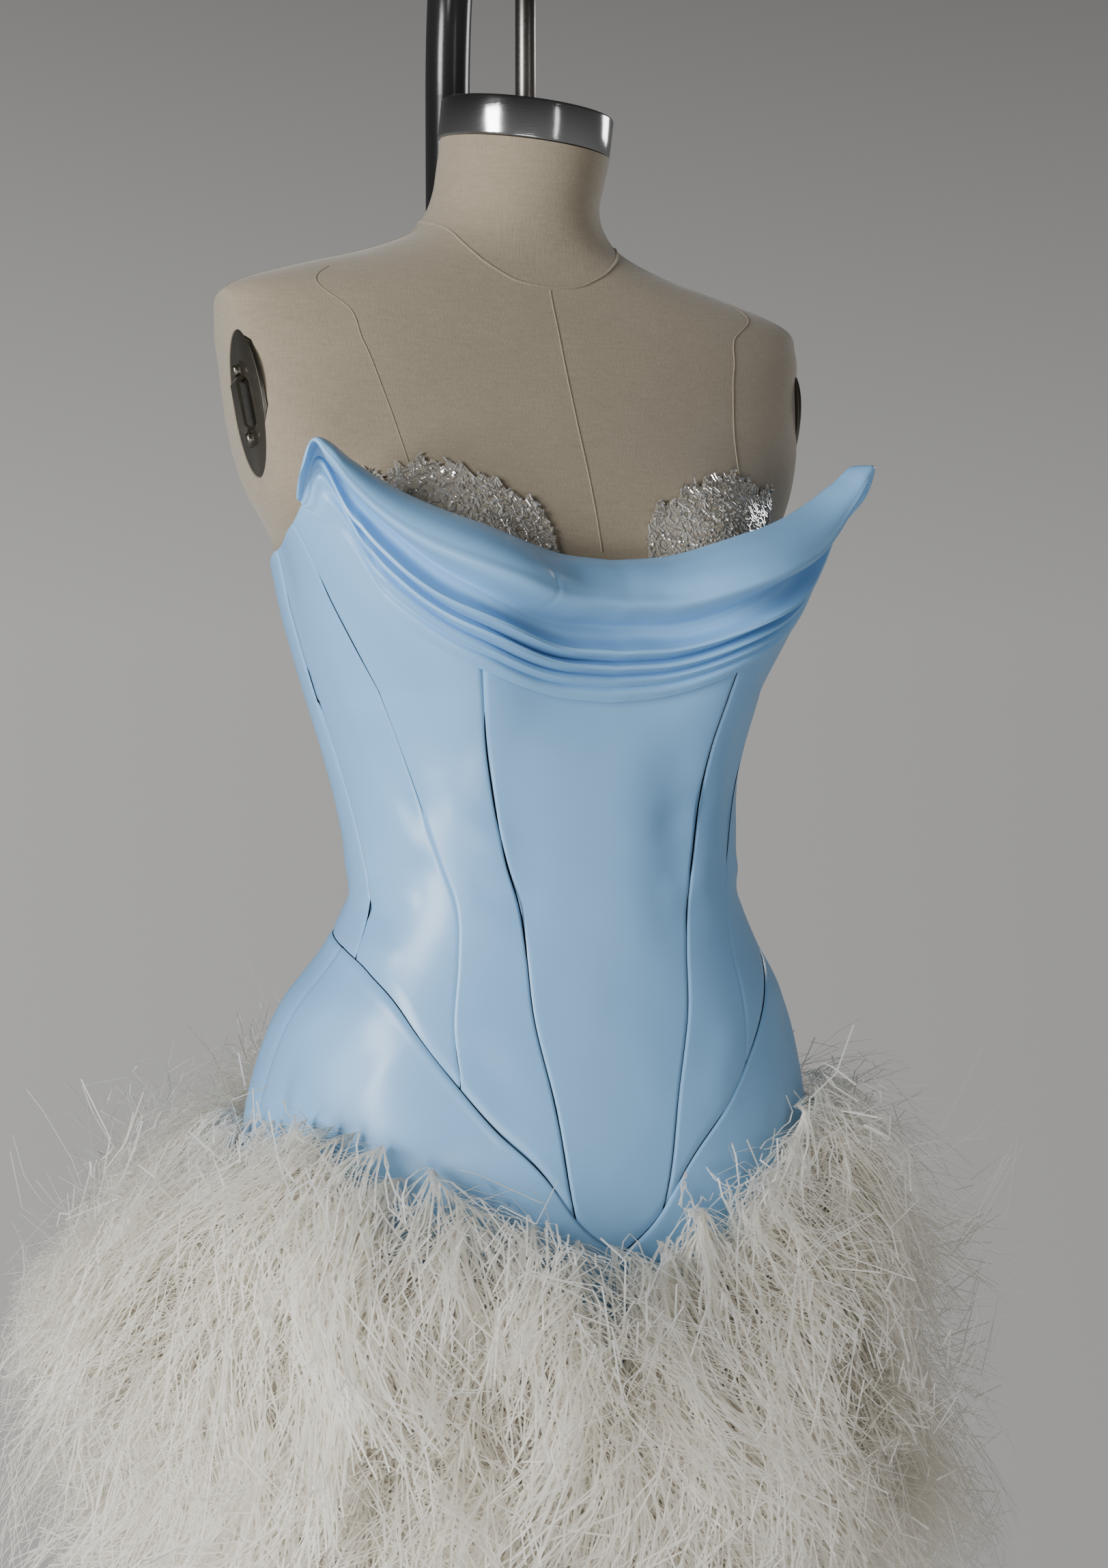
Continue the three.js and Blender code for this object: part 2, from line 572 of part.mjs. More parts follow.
// ---------------------------------------------------------------- zip
/** The outer face of the dress at the centre back, where the slider rides, and the axis of its pull tab. */
const clothFace = dressPoint(180, ZIP.z + ZIP.height / 2, CLOTH.clear + CLOTH.wall).y;
const zipFace = clothFace + SEAM_GAP + ZIP.stand;
const pullAxis = new THREE.Vector3(0, zipFace + ZIP.depth + ZIP.barrel + ZIP.running, ZIP.z + ZIP.above);

function zipSlider() {
  const across = ZIP.width / 2 - ZIP.ear / 2;
  const deep = zipFace + ZIP.depth + ZIP.earDepth / 2 - ZIP.running;
  const ear = (side) => box(ZIP.ear, ZIP.earDepth, ZIP.earHeight, side * across, deep, pullAxis.z);
  return join(box(ZIP.width, ZIP.depth, ZIP.height, 0, zipFace + ZIP.depth / 2, ZIP.z), ear(-1), ear(1));
}

function zipPull() {
  const inside = ZIP.width - 2 * ZIP.ear - 2 * SEAM_GAP;
  const barrel = new THREE.CylinderGeometry(ZIP.barrel, ZIP.barrel, inside, 12).rotateZ(Math.PI / 2)
    .translate(0, pullAxis.y, pullAxis.z);
  const tabMiddle = pullAxis.z - ZIP.tabLength / 2;
  return join(barrel, box(ZIP.tabWidth, ZIP.tab, ZIP.tabLength, 0, pullAxis.y, tabMiddle));
}

// ---------------------------------------------------------------- the object
const finish = (color, roughness, metalness) => new THREE.MeshStandardMaterial({
  color, roughness, metalness,
});
const LINEN = finish('#b0a494', 0.9, 0);
const SATIN = finish('#8fb6d6', 0.42, 0);
const BEADED_LACE = finish('#b9b6ae', 0.5, 0.3);
const OSTRICH = finish('#ddd5c9', 0.9, 0);
const STEEL = finish('#b4b6b8', 0.32, 0.9);
const DARK_STEEL = finish('#3a3836', 0.35, 0.8);
const BLACK_PAINT = finish('#0d0d0e', 0.28, 0.2);
const ZIP_METAL = finish('#9aa6b2', 0.35, 0.8);

const dress = new THREE.Group();
function add(name, geometry, material) {
  const mesh = new THREE.Mesh(geometry, material);
  mesh.name = name;
  dress.add(mesh);
}

add('form_body', formBody(), LINEN);
add('neck_cap', neckCap(), STEEL);
for (const [side, label] of [[-1, 'right'], [1, 'left']]) {
  add(`arm_plate_${label}`, armPlate(side), STEEL);
}
add('hang_rod', hangRod(), DARK_STEEL);
add('stand_pole', standPole(), BLACK_PAINT);
add('stand_gooseneck', gooseneck(), BLACK_PAINT);
add('stand_base', standBase(), BLACK_PAINT);

add('bodice_front_center', bodicePanel(mirrored(frontSeam), frontSeam, 8), SATIN);
for (const [label, left, right, columns] of RIGHT_SIDE_PANELS) {
  add(`bodice_${label}_left`, bodicePanel(left, right, columns), SATIN);
  add(`bodice_${label}_right`, bodicePanel(mirrored(right), mirrored(left), columns), SATIN);
}
add('skirt_front', skirtPanel(-90, 90), SATIN);
add('skirt_back_left', skirtPanel(90, 180), SATIN);
add('skirt_back_right', skirtPanel(-180, -90), SATIN);
add('cowl', cowl(), SATIN);
add('lace_left', lace(1), BEADED_LACE);
add('lace_right', lace(-1), BEADED_LACE);
for (let tier = 0; tier < FEATHERS.tiers; tier += 1) {
  add(`feather_tier_${tier + 1}`, featherTier(tier), OSTRICH);
}
add('zip_slider', zipSlider(), ZIP_METAL);
add('zip_pull', zipPull(), ZIP_METAL);

export default dress;
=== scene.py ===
"""Looks of a satin corset mini dress with a draped cowl and a feather skirt, on its dress form and stand.

Every shape is worked out in millimetres on the level sections of one figure, as a cutter's block is, and
turned into metres when a mesh is made. The form faces -Y, its right side is -X and the floor is at z = 0.
"""
import logging
import math
from collections.abc import Callable, Sequence
from dataclasses import dataclass, field
from enum import Enum

import bmesh
import bpy
import numpy as np
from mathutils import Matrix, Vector


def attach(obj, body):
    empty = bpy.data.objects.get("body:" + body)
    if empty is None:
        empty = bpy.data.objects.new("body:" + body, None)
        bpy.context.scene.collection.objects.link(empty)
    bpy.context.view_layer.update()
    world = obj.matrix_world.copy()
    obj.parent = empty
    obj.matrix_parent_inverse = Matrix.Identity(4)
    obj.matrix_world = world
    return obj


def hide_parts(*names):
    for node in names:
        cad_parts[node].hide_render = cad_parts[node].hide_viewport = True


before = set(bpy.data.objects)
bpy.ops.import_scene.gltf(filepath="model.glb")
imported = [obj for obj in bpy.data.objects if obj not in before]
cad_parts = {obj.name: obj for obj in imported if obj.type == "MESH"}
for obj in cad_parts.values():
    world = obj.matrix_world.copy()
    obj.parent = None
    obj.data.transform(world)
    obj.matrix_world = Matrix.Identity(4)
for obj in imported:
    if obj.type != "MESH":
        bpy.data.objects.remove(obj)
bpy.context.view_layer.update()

LOG = logging.getLogger("dress")
METRE = 1000.0
BODY = "main"
PULL_BODY = "pull"
SEED = 11

Array = np.ndarray
Material = bpy.types.Material
Node = bpy.types.Node
Object = bpy.types.Object
Socket = bpy.types.NodeSocket
Colour = tuple[float, float, float]
Triple = tuple[float, float, float]
Profile = Sequence[tuple[float, float]]
Surface = Callable[[Array, Array], Array]
SeamLine = Callable[[Array], Array]
X_AXIS = (1.0, 0.0, 0.0)
Z_AXIS = (0.0, 0.0, 1.0)


class Side(Enum):
    """The form's own right and left."""

    RIGHT = -1
    LEFT = 1

    @property
    def label(self) -> str:
        """The word used in piece names."""
        return self.name.lower()


# --- curves and the figure
class Spline:
    """A smooth curve through the points of two columns, flat beyond its ends."""

    def __init__(self, rows: Sequence[Sequence[float]], column: int = 1) -> None:
        """Keep the first column as the run and another as the value.

        Args:
            rows: the table's rows.
            column: which column holds the value.
        """
        self.xs = np.array([row[0] for row in rows], float)
        self.ys = np.array([row[column] for row in rows], float)
        gaps = np.diff(self.xs)
        rise = np.diff(self.ys) / gaps
        inner = (rise[:-1] * gaps[1:] + rise[1:] * gaps[:-1]) / (gaps[:-1] + gaps[1:])
        self.slopes = np.concatenate([rise[:1], inner, rise[-1:]])

    def __call__(self, x: Array | float) -> Array:
        """The value at x.

        Args:
            x: a number or an array.

        Returns:
            An array of values.
        """
        x = np.asarray(x, float)
        i = np.clip(np.searchsorted(self.xs, x) - 1, 0, len(self.xs) - 2)
        width = self.xs[i + 1] - self.xs[i]
        t = np.clip((x - self.xs[i]) / width, 0, 1)
        s = 1 - t
        low = (1 + 2 * t) * s * s * self.ys[i] + t * s * s * width * self.slopes[i]
        high = t * t * (3 - 2 * t) * self.ys[i + 1] - t * t * s * width * self.slopes[i + 1]
        return low + high


# Level sections: height, half width, front, back, y of the widest point, squareness, bust, lean.
FIGURE_ROWS = (
    (640, 150, -106, 112, 0, 2.3, 0, 0),
    (700, 154, -108, 114, 0, 2.3, 0, 0),
    (760, 158, -111, 117, -1, 2.3, 0, 0),
    (820, 163, -116, 122, -3, 2.3, 0, 0),
    (870, 166, -120, 123, -4, 2.3, 0, 0),
    (912, 165, -121, 119, -6, 2.3, 0, 0),
    (950, 158, -118, 109, -9, 2.3, 0, 0),
    (985, 146, -114, 94, -17, 2.3, 0, 0),
    (1020, 122, -109, 75, -26, 2.3, 1, 0),
    (1050, 109, -106, 66, -26, 2.3, 3, 0),
    (1075, 110, -102, 66, -22, 2.3, 4, 0),
    (1100, 113, -100, 71, -16, 2.3, 5, 0),
    (1130, 119, -101, 81, -10, 2.3, 8, 0),
    (1169, 130, -106, 91, -7, 2.3, 16, 0),
    (1209, 141, -107, 98, -6, 2.3, 22, 0),
    (1250, 151, -97, 102, -6, 2.3, 15, 0),
    (1280, 167, -85, 102, -3, 2.3, 5, 0),
    (1313, 177, -69, 99, 1, 2.4, 0, 0),
    (1345, 180, -54, 93, 4, 2.5, 0, 0),
    (1370, 182, -43, 87, 6, 2.5, 0, 0),
    (1388, 174, -35, 82, 8, 2.4, 0, 0.01),
    (1400, 140, -31, 79, 10, 2.2, 0, 0.02),
    (1412, 98, -29, 77, 13, 2, 0, 0.04),
    (1424, 67.5, -30, 75, 15, 2, 0, 0.07),
    (1436, 54.5, -33, 72, 16, 2, 0, 0.1),
    (1450, 48.5, -37, 67, 14, 2, 0, 0.125),
    (1463, 48.5, -43, 59, 8, 2, 0, 0.14),
    (1477.4, 49.2, -48.2, 50.2, 1, 2, 0, 0.147),
)
# Seams down the bodice: height and angle from the centre front.
FRONT_SEAM = Spline(((870, 6), (891, 7.5), (948, 11), (1022, 20), (1070, 27), (1124, 30.5), (1240, 32)))
PRINCESS_SEAM = Spline(((960, 30), (990, 34), (1032, 41), (1081, 50), (1126, 56), (1180, 62), (1260, 66)))
SIDE_SEAM = Spline(((1010, 76), (1039, 82), (1089, 87), (1126, 89), (1250, 91)))
BACK_SEAM = Spline(((1020, 150), (1060, 146), (1120, 142), (1220, 136)))
# Edges round the dress: angle and height.
BASQUE = Spline((
    (0, 860), (6, 878), (12, 905), (22, 933), (32, 960), (46, 990), (68, 1013), (90, 1023),
    (130, 1028), (180, 1026),
))
BODICE_TOP = Spline((
    (0, 1224), (12, 1227), (25, 1236), (36, 1252), (43, 1268), (49, 1284), (56, 1267),
    (62, 1257), (72, 1249), (90, 1243), (110, 1233), (145, 1216), (180, 1208),
))
COWL_TOP = Spline((
    (0, 1234.5), (12, 1238), (25, 1249), (32, 1258), (38, 1269), (44, 1282), (49, 1292),
    (53, 1278), (58, 1264),
))
COWL_BOTTOM = Spline(((0, 1159), (12, 1162), (28, 1173), (41, 1189), (50, 1210), (55, 1234), (58, 1256)))
FEATHER_LINE = Spline(((0, 845), (14, 862), (35, 885), (60, 903), (90, 918), (140, 925), (180, 925)))
LACE_BOTTOM = Spline(((8, 1227), (14, 1230), (20, 1234.5), (25, 1238), (36, 1243), (47, 1248)))
LACE_TOP = Spline((
    (8, 1238), (9, 1255), (13, 1270), (16, 1276), (19, 1281), (25, 1287), (30, 1289), (36, 1286), (41, 1281),
    (47, 1286),
))
# Folds of the cowl from its lower edge (0) to its upper edge (1), and how far the cloth stands out.
FOLDS = Spline((
    (0, 6.6), (0.07, 8.4), (0.1, 6.6), (0.15, 11), (0.19, 6.6), (0.24, 14.5), (0.285, 7.5), (0.345, 18),
    (0.4, 9), (0.48, 7), (0.56, 9), (0.605, 19), (0.66, 26.5), (0.75, 27.5), (0.88, 23.5),
    (0.96, 17.5), (1, 12),
))
FOLD_CROWD = Spline((
    (0, 1), (31, 1), (38, 1.18), (42, 1.46), (46, 2.0), (48, 2.5), (50, 5.5), (52, 7), (55, 5), (58, 3),
))
FOLD_FADE = Spline(((0, 1), (34, 1), (42, 0.92), (46, 0.75), (49, 0.45), (52, 0.18), (56, 0.08), (58, 0.06)))
BAND_FADE = Spline(((0, 1), (42, 1), (47, 0.9), (50, 0.7), (53, 0.5), (56, 0.25), (58, 0.12)))


@dataclass(frozen=True)
class Bust:
    """Where the bust stands out most, and how wide it is."""

    x: float = 82
    width: float = 38


@dataclass(frozen=True)
class Wing:
    """The stand-off of the bodice and cowl towards each wing tip."""

    angle: float = 53
    spread: float = 38
    reach: float = 44
    low: float = 1165
    high: float = 1293
    power: float = 1.1

    def stand_off(self, angle: Array, level: Array) -> Array:
        """How far the cloth leaves the figure.

        Args:
            angle: degrees from the centre front.
            level: height.

        Returns:
            The distance at each point.
        """
        near = np.clip(1 - np.abs(np.abs(angle) - self.angle) / self.spread, 0, 1)
        up = np.clip((level - self.low) / (self.high - self.low), 0, 1.1) ** self.power
        return self.reach * near * near * (3 - 2 * near) * up


class Figure:
    """The body block that the form is made on and the dress is cut to."""

    STEP = 0.4
    SIDE_LEAN = 0.394
    SKIRT_EASE = 8
    EASE_FROM = 900
    EASE_OVER = 200

    def __init__(self) -> None:
        """Lay a spline through each column of the section table."""
        names = ("half", "front", "back", "wide", "square", "bust", "lean")
        self.columns = {name: Spline(FIGURE_ROWS, k + 1) for k, name in enumerate(names)}
        self.bust = Bust()
        self.wing = Wing()

    def point(self, angle: Array, level: Array) -> Array:
        """Points on the figure.

        Args:
            angle: degrees from the centre front, positive on the form's left.
            level: height.

        Returns:
            An array of points, in millimetres.
        """
        angle, level = np.broadcast_arrays(np.asarray(angle, float), np.asarray(level, float))
        at = {name: spline(level) for name, spline in self.columns.items()}
        sine, cosine = np.sin(np.radians(angle)), np.cos(np.radians(angle))
        power = 2 / at["square"]
        depth = np.where(cosine > 0, at["wide"] - at["front"], at["back"] - at["wide"])
        x = at["half"] * np.sign(sine) * np.abs(sine) ** power
        y = at["wide"] - depth * np.sign(cosine) * np.abs(cosine) ** power
        swell = at["bust"] * np.exp(-(((np.abs(x) - self.bust.x) / self.bust.width) ** 2))
        y = y - np.where(cosine > 0, swell, 0)
        return np.stack([x, y, level + at["lean"] * (y - at["wide"] - self.SIDE_LEAN * x)], -1)

    def outward(self, angle: Array, level: Array) -> Array:
        """The level directions that point straight out of the figure."""
        along = self.point(angle + self.STEP, level) - self.point(angle - self.STEP, level)
        away = np.stack([along[..., 1], -along[..., 0], np.zeros_like(along[..., 0])], -1)
        return away / np.linalg.norm(away, axis=-1, keepdims=True)

    def skin(self, angle: Array, level: Array, out: Array | float) -> Array:
        """Points that stand off the figure by a distance."""
        return self.point(angle, level) + self.outward(angle, level) * np.asarray(out)[..., None]

    def dress(self, angle: Array, level: Array, out: Array | float) -> Array:
        """Points that also follow the wings."""
        return self.skin(angle, level, np.asarray(out) + self.wing.stand_off(angle, level))

    def skirt(self, angle: Array, level: Array, out: Array | float) -> Array:
        """Points that hang straighter than the thighs."""
        ease = self.SKIRT_EASE * np.clip((self.EASE_FROM - level) / self.EASE_OVER, 0, 1)
        return self.skin(angle, level, np.asarray(out) + ease)


FIGURE = Figure()


# --- mesh helpers
def add_object(name: str, data: bpy.types.ID) -> Object:
    """Make an object of a mesh, a camera or a lamp, and put it in the scene."""
    obj = bpy.data.objects.new(name, data)
    bpy.context.scene.collection.objects.link(obj)
    return obj


def smooth(mesh: bpy.types.Mesh, sharp: float) -> None:
    """Shade a mesh smooth, apart from edges sharper than an angle in degrees."""
    mesh.shade_smooth()
    mesh.set_sharp_from_angle(angle=math.radians(sharp))


def new_object(
    name: str, points: Array, faces: Sequence[Sequence[int]], uvs: Array | None = None,
) -> Object:
    """Make a mesh object from points in millimetres.

    Args:
        name: the piece's name.
        points: vertices.
        faces: lists of vertex numbers.
        uvs: one pair for each vertex, in metres, for the weave.

    Returns:
        The object, smooth-shaded, at the origin.
    """
    mesh = bpy.data.meshes.new(name)
    mesh.from_pydata((np.asarray(points).reshape(-1, 3) / METRE).tolist(), [], [list(f) for f in faces])
    if uvs is not None:
        layer = mesh.uv_layers.new(name="weave")
        corner = np.zeros(len(mesh.loops), int)
        mesh.loops.foreach_get("vertex_index", corner)
        layer.data.foreach_set("uv", np.asarray(uvs, float)[corner].ravel())
    mesh.validate()
    smooth(mesh, 50)
    return add_object(name, mesh)


def joined(name: str, parts: Sequence[Object]) -> Object:
    """Join several objects into one, and give it a name."""
    for obj in bpy.context.selected_objects:
        obj.select_set(False)
    for obj in parts:
        obj.select_set(True)
    bpy.context.view_layer.objects.active = parts[0]
    if len(parts) > 1:
        bpy.ops.object.join()
    parts[0].name = name
    parts[0].data.name = name
    return parts[0]


def plain_mesh(obj: Object, name: str) -> Object:
    """Swap an object with live modifiers for a new one that has their result as a plain mesh.

    Args:
        obj: the object whose modifiers are settled.
        name: the name of the new object.

    Returns:
        The new object.
    """
    bpy.context.view_layer.update()
    graph = bpy.context.evaluated_depsgraph_get()
    mesh = bpy.data.meshes.new_from_object(obj.evaluated_get(graph), depsgraph=graph)
    obj.modifiers.clear()
    bpy.data.objects.remove(obj)
    mesh.name = name
    return add_object(name, mesh)


def grid_faces(rows: int, columns: int, wrap: bool = False, start: int = 0) -> list[tuple[int, ...]]:
    """Four-sided faces over rows of vertices, anticlockwise where columns run right and rows run up."""
    last = columns if wrap else columns - 1
    return [
        (start + j * columns + i, start + j * columns + (i + 1) % columns,
         start + (j + 1) * columns + (i + 1) % columns, start + (j + 1) * columns + i)
        for j in range(rows - 1) for i in range(last)
    ]


def stack(name: str, rings: Array) -> Object:
    """A closed solid from rings that run anticlockwise seen from its far end."""
    rows, columns, _ = rings.shape
    faces = grid_faces(rows, columns, wrap=True)
    faces.append(tuple(reversed(range(columns))))
    faces.append(tuple(range((rows - 1) * columns, rows * columns)))
    return new_object(name, rings, faces)


def lathe(name: str, profile: Profile, sides: int, centre: Sequence[float] = (0, 0, 0)) -> Object:
    """Turn a profile of (radius, height) round an upright axis."""
    turn = np.linspace(0, 2 * np.pi, sides, endpoint=False)
    rings = np.array([
        np.stack([r * np.cos(turn), r * np.sin(turn), np.full(sides, h)], -1) for r, h in profile
    ])
    return stack(name, rings + np.asarray(centre, float))


def sweep(name: str, path: Array, radius: Array | float, sides: int = 8) -> Object:
    """A round bar along a path, with its frame carried along without twist.

    Args:
        name: the piece's name.
        path: points in millimetres.
        radius: one radius, or one for each point.
        sides: corners of the section.

    Returns:
        The bar.
    """
    path = np.asarray(path, float)
    along = np.gradient(path, axis=0)
    along /= np.linalg.norm(along, axis=1, keepdims=True)
    across = np.cross(along[0], (0.0, 0.0, 1.0))
    if np.linalg.norm(across) < 0.1:
        across = np.cross(along[0], (0.0, 1.0, 0.0))
    turn = np.linspace(0, 2 * np.pi, sides, endpoint=False)
    radii = np.broadcast_to(radius, (len(path),))
    rings = []
    for point, heading, r in zip(path, along, radii):
        across = across - heading * np.dot(across, heading)
        across /= np.linalg.norm(across)
        third = np.cross(heading, across)
        rings.append(point + r * (np.outer(np.cos(turn), across) + np.outer(np.sin(turn), third)))
    return stack(name, np.array(rings))


# How far apart two places are when a slope of the cloth is measured.
CLOTH_STEP = 0.02


@dataclass
class Cut:
    """The flat cut of one piece of cloth, measured on its middle, in metres."""

    width: float
    length: float
    area: float


def cloth_shell(
    name: str, surface: Surface, first: Array, second: Array, wall: float,
) -> tuple[Object, Cut]:
    """A thin closed wall of cloth over a grid.

    Args:
        name: the piece's name.
        surface: the middle of the cloth, from two coordinates.
        first: the first coordinate at each row and column.
        second: the second coordinate.
        wall: the cloth's thickness in millimetres.

    Returns:
        The shell, with its weave laid out in a UV map, and its flat cut.
    """
    rows, columns = first.shape
    middle = surface(first, second)
    along = surface(first + CLOTH_STEP, second) - surface(first - CLOTH_STEP, second)
    lift = CLOTH_STEP * 0.01 if np.ptp(second) < 5 else CLOTH_STEP
    up = surface(first, second + lift) - surface(first, second - lift)
    normal = np.cross(along, up)
    normal /= np.linalg.norm(normal, axis=-1, keepdims=True)
    outer, inner = middle + normal * wall / 2, middle - normal * wall / 2
    count = rows * columns
    faces = grid_faces(rows, columns)
    faces += [tuple(reversed([k + count for k in face])) for face in grid_faces(rows, columns)]
    rim = [
        *(j * columns for j in range(rows - 1, 0, -1)), *range(columns - 1),
        *(j * columns + columns - 1 for j in range(rows - 1)), *(count - 1 - i for i in range(columns - 1)),
    ]
    faces += [(b, a, a + count, b + count) for a, b in zip(rim, rim[1:] + rim[:1])]
    across = np.linalg.norm(np.diff(middle, axis=1), axis=-1)
    down = np.linalg.norm(np.diff(middle, axis=0), axis=-1)
    u = np.concatenate([np.zeros((rows, 1)), np.cumsum(across, axis=1)], axis=1)
    v = np.concatenate([np.zeros((1, columns)), np.cumsum(down, axis=0)], axis=0)
    u -= u[:, -1:] / 2
    uvs = np.stack([u, v], -1).reshape(-1, 2) / METRE
    points = np.concatenate([outer.reshape(-1, 3), inner.reshape(-1, 3)])
    obj = new_object(name, points, faces, np.tile(uvs, (2, 1)))
    rising, falling = middle[1:, 1:] - middle[:-1, :-1], middle[:-1, 1:] - middle[1:, :-1]
    area = np.linalg.norm(np.cross(rising, falling), axis=-1) / 2
    width, length = np.ptp(u, axis=1).max() / METRE, v.max() / METRE
    flat = float(np.clip(area.sum() / METRE**2, 0.31 * width * length, width * length))
    return obj, Cut(float(width), float(length), flat)


# --- node graphs
class Graph:
    """A short way to add nodes to a tree and link them."""

    def __init__(self, tree: bpy.types.NodeTree) -> None:
        """Keep the tree that nodes are added to."""
        self.tree = tree

    def feed(self, node: Node, inputs: dict) -> Node:
        """Fill a node's inputs.

        Args:
            node: the node.
            inputs: for each socket name or number, a constant or the output socket that feeds it.

        Returns:
            The node.
        """
        for key, value in inputs.items():
            socket = node.inputs[key]
            if isinstance(value, Socket):
                self.tree.links.new(value, socket)
            else:
                socket.default_value = value
        return node

    def add(self, kind: str, inputs: dict | None = None, **settings: object) -> Node:
        """Add a node.

        Args:
            kind: the node's type.
            inputs: what feeds its sockets.
            settings: the node's own properties, which are set before its inputs.

        Returns:
            The node.
        """
        node = self.tree.nodes.new(kind)
        for name, value in settings.items():
            setattr(node, name, value)
        return self.feed(node, inputs or {})

    def number(self, operation: str, first: object, second: object) -> Socket:
        """One number worked out from two."""
        return self.add("ShaderNodeMath", {0: first, 1: second}, operation=operation).outputs[0]

    def vector(self, operation: str, first: object, second: object) -> Socket:
        """One vector worked out from two, or from one and the number that scales it."""
        other = "Scale" if operation == "SCALE" else 1
        return self.add("ShaderNodeVectorMath", {0: first, other: second}, operation=operation).outputs[0]

    def ranged(
        self, value: Socket, low: float, high: float, start: float = 0.0, stop: float = 1.0,
    ) -> Socket:
        """A number moved from one range into another.

        Args:
            value: the number.
            low: what start becomes.
            high: what stop becomes.
            start: the first end of the range it comes from.
            stop: the other end.

        Returns:
            The number in its new range.
        """
        return self.add("ShaderNodeMapRange", {
            "Value": value, "From Min": start, "From Max": stop, "To Min": low, "To Max": high,
        }).outputs["Result"]

    def blend(self, share: object, none: Colour, full: Colour) -> Socket:
        """A colour between two."""
        return self.add("ShaderNodeMix", {
            0: share, 6: (*none, 1), 7: (*full, 1),
        }, data_type="RGBA").outputs[2]

    def noise(self, place: Socket, scale: float, detail: float, **more: float) -> Node:
        """A noise texture."""
        return self.add("ShaderNodeTexNoise", {"Vector": place, "Scale": scale, "Detail": detail, **more})

    def stretched(self, place: Socket, scale: Triple) -> Socket:
        """Coordinates drawn out along their axes."""
        return self.add("ShaderNodeMapping", {"Vector": place, "Scale": scale}).outputs["Vector"]

    def bump(self, height: Socket, strength: float, distance: float, **more: Socket) -> Node:
        """A relief that only the light sees."""
        return self.add("ShaderNodeBump", {
            "Height": height, "Strength": strength, "Distance": distance, **more,
        })


# --- finishes
def start_material(name: str) -> tuple[Material, Graph, Node]:
    """A material with its Principled shader linked to the output."""
    material = bpy.data.materials.new(name)
    material.use_nodes = True
    material.node_tree.nodes.clear()
    graph = Graph(material.node_tree)
    shader = graph.add("ShaderNodeBsdfPrincipled")
    graph.add("ShaderNodeOutputMaterial", {"Surface": shader.outputs["BSDF"]})
    return material, graph, shader


@dataclass(frozen=True)
class Satin:
    """Powder-blue duchess satin: smooth, with a soft gloss drawn out along the weft.

    Cloud, ripple and thread are the scales of its shading, its unevenness and its yarns, and run is how far a
    yarn is drawn out.
    """

    name: str = "blue_satin"
    colour: Colour = (0.26, 0.50, 0.79)
    deep: Colour = (0.19, 0.41, 0.69)
    roughness: float = 0.32
    thread: float = 900.0
    ripple: float = 26.0
    cloud: float = 9.0
    run: float = 0.12
    gloss: float = 0.45

    def build(self) -> Material:
        """Make the material."""
        material, graph, shader = start_material(self.name)
        weave = graph.add("ShaderNodeUVMap", uv_map="weave").outputs["UV"]
        place = graph.add("ShaderNodeTexCoord").outputs["Object"]
        cloud = graph.noise(place, self.cloud, 2.0)
        yarn = graph.noise(graph.stretched(weave, (1.0, self.run, 1.0)), self.thread, 2.0)
        soft = graph.noise(place, self.ripple, 1.0, Roughness=0.4)
        rippled = graph.bump(soft.outputs["Fac"], 0.22, 0.004)
        woven = graph.bump(yarn.outputs["Fac"], 0.12, 0.0002, Normal=rippled.outputs["Normal"])
        tangent = graph.add("ShaderNodeTangent", direction_type="UV_MAP", uv_map="weave")
        graph.feed(shader, {
            "Base Color": graph.blend(cloud.outputs["Fac"], self.deep, self.colour),
            "Normal": woven.outputs["Normal"], "Tangent": tangent.outputs["Tangent"],
            "Roughness": self.roughness, "Anisotropic": self.gloss,
            "Sheen Weight": 0.04, "Sheen Roughness": 0.4, "Sheen Tint": (0.75, 0.88, 1.0, 1),
        })
        return material


@dataclass(frozen=True)
class Linen:
    """Plain-woven greige linen, stretched over the form: matt, with slubs both ways."""

    name: str = "linen"
    colour: Colour = (0.235, 0.196, 0.138)
    pale: Colour = (0.30, 0.252, 0.182)
    pitch: float = 1150.0
    cloud: float = 14.0

    def build(self) -> Material:
        """Make the material."""
        material, graph, shader = start_material(self.name)
        place = graph.add("ShaderNodeTexCoord").outputs["Object"]
        warp, weft = (
            graph.noise(graph.stretched(place, run), self.pitch, 1.0).outputs["Fac"]
            for run in ((1.0, 1.0, 0.08), (0.1, 0.1, 1.0))
        )
        both = graph.number("ADD", warp, weft)
        cloud = graph.noise(place, self.cloud, 3.0)
        tone = graph.number("ADD", both, cloud.outputs["Fac"])
        graph.feed(shader, {
            "Base Color": graph.blend(graph.ranged(tone, 0.0, 1.0, 1.0, 2.0), self.colour, self.pale),
            "Normal": graph.bump(both, 0.35, 0.0004).outputs["Normal"],
            "Roughness": 0.85, "Specular IOR Level": 0.25, "Sheen Weight": 0.35,
        })
        return material


@dataclass(frozen=True)
class Ostrich:
    """Ivory ostrich barbs: soft, matt and a little see-through, no two quite the same shade."""

    name: str = "ostrich_feather"
    pale: Colour = (0.98, 0.965, 0.92)
    deep: Colour = (0.93, 0.90, 0.83)
    through: float = 0.55

    def build(self) -> Material:
        """Make the material."""
        material, graph, shader = start_material(self.name)
        tint = graph.add("ShaderNodeAttribute", attribute_name="tint").outputs["Fac"]
        colour = graph.blend(tint, self.deep, self.pale)
        graph.feed(shader, {
            "Base Color": colour, "Roughness": 0.7, "Specular IOR Level": 0.3, "Sheen Weight": 0.3,
        })
        glow = graph.add("ShaderNodeBsdfTranslucent", {"Color": colour})
        mix = graph.add("ShaderNodeMixShader", {
            0: self.through, 1: shader.outputs["BSDF"], 2: glow.outputs["BSDF"],
        })
        graph.feed(graph.tree.nodes["Material Output"], {"Surface": mix.outputs["Shader"]})
        return material


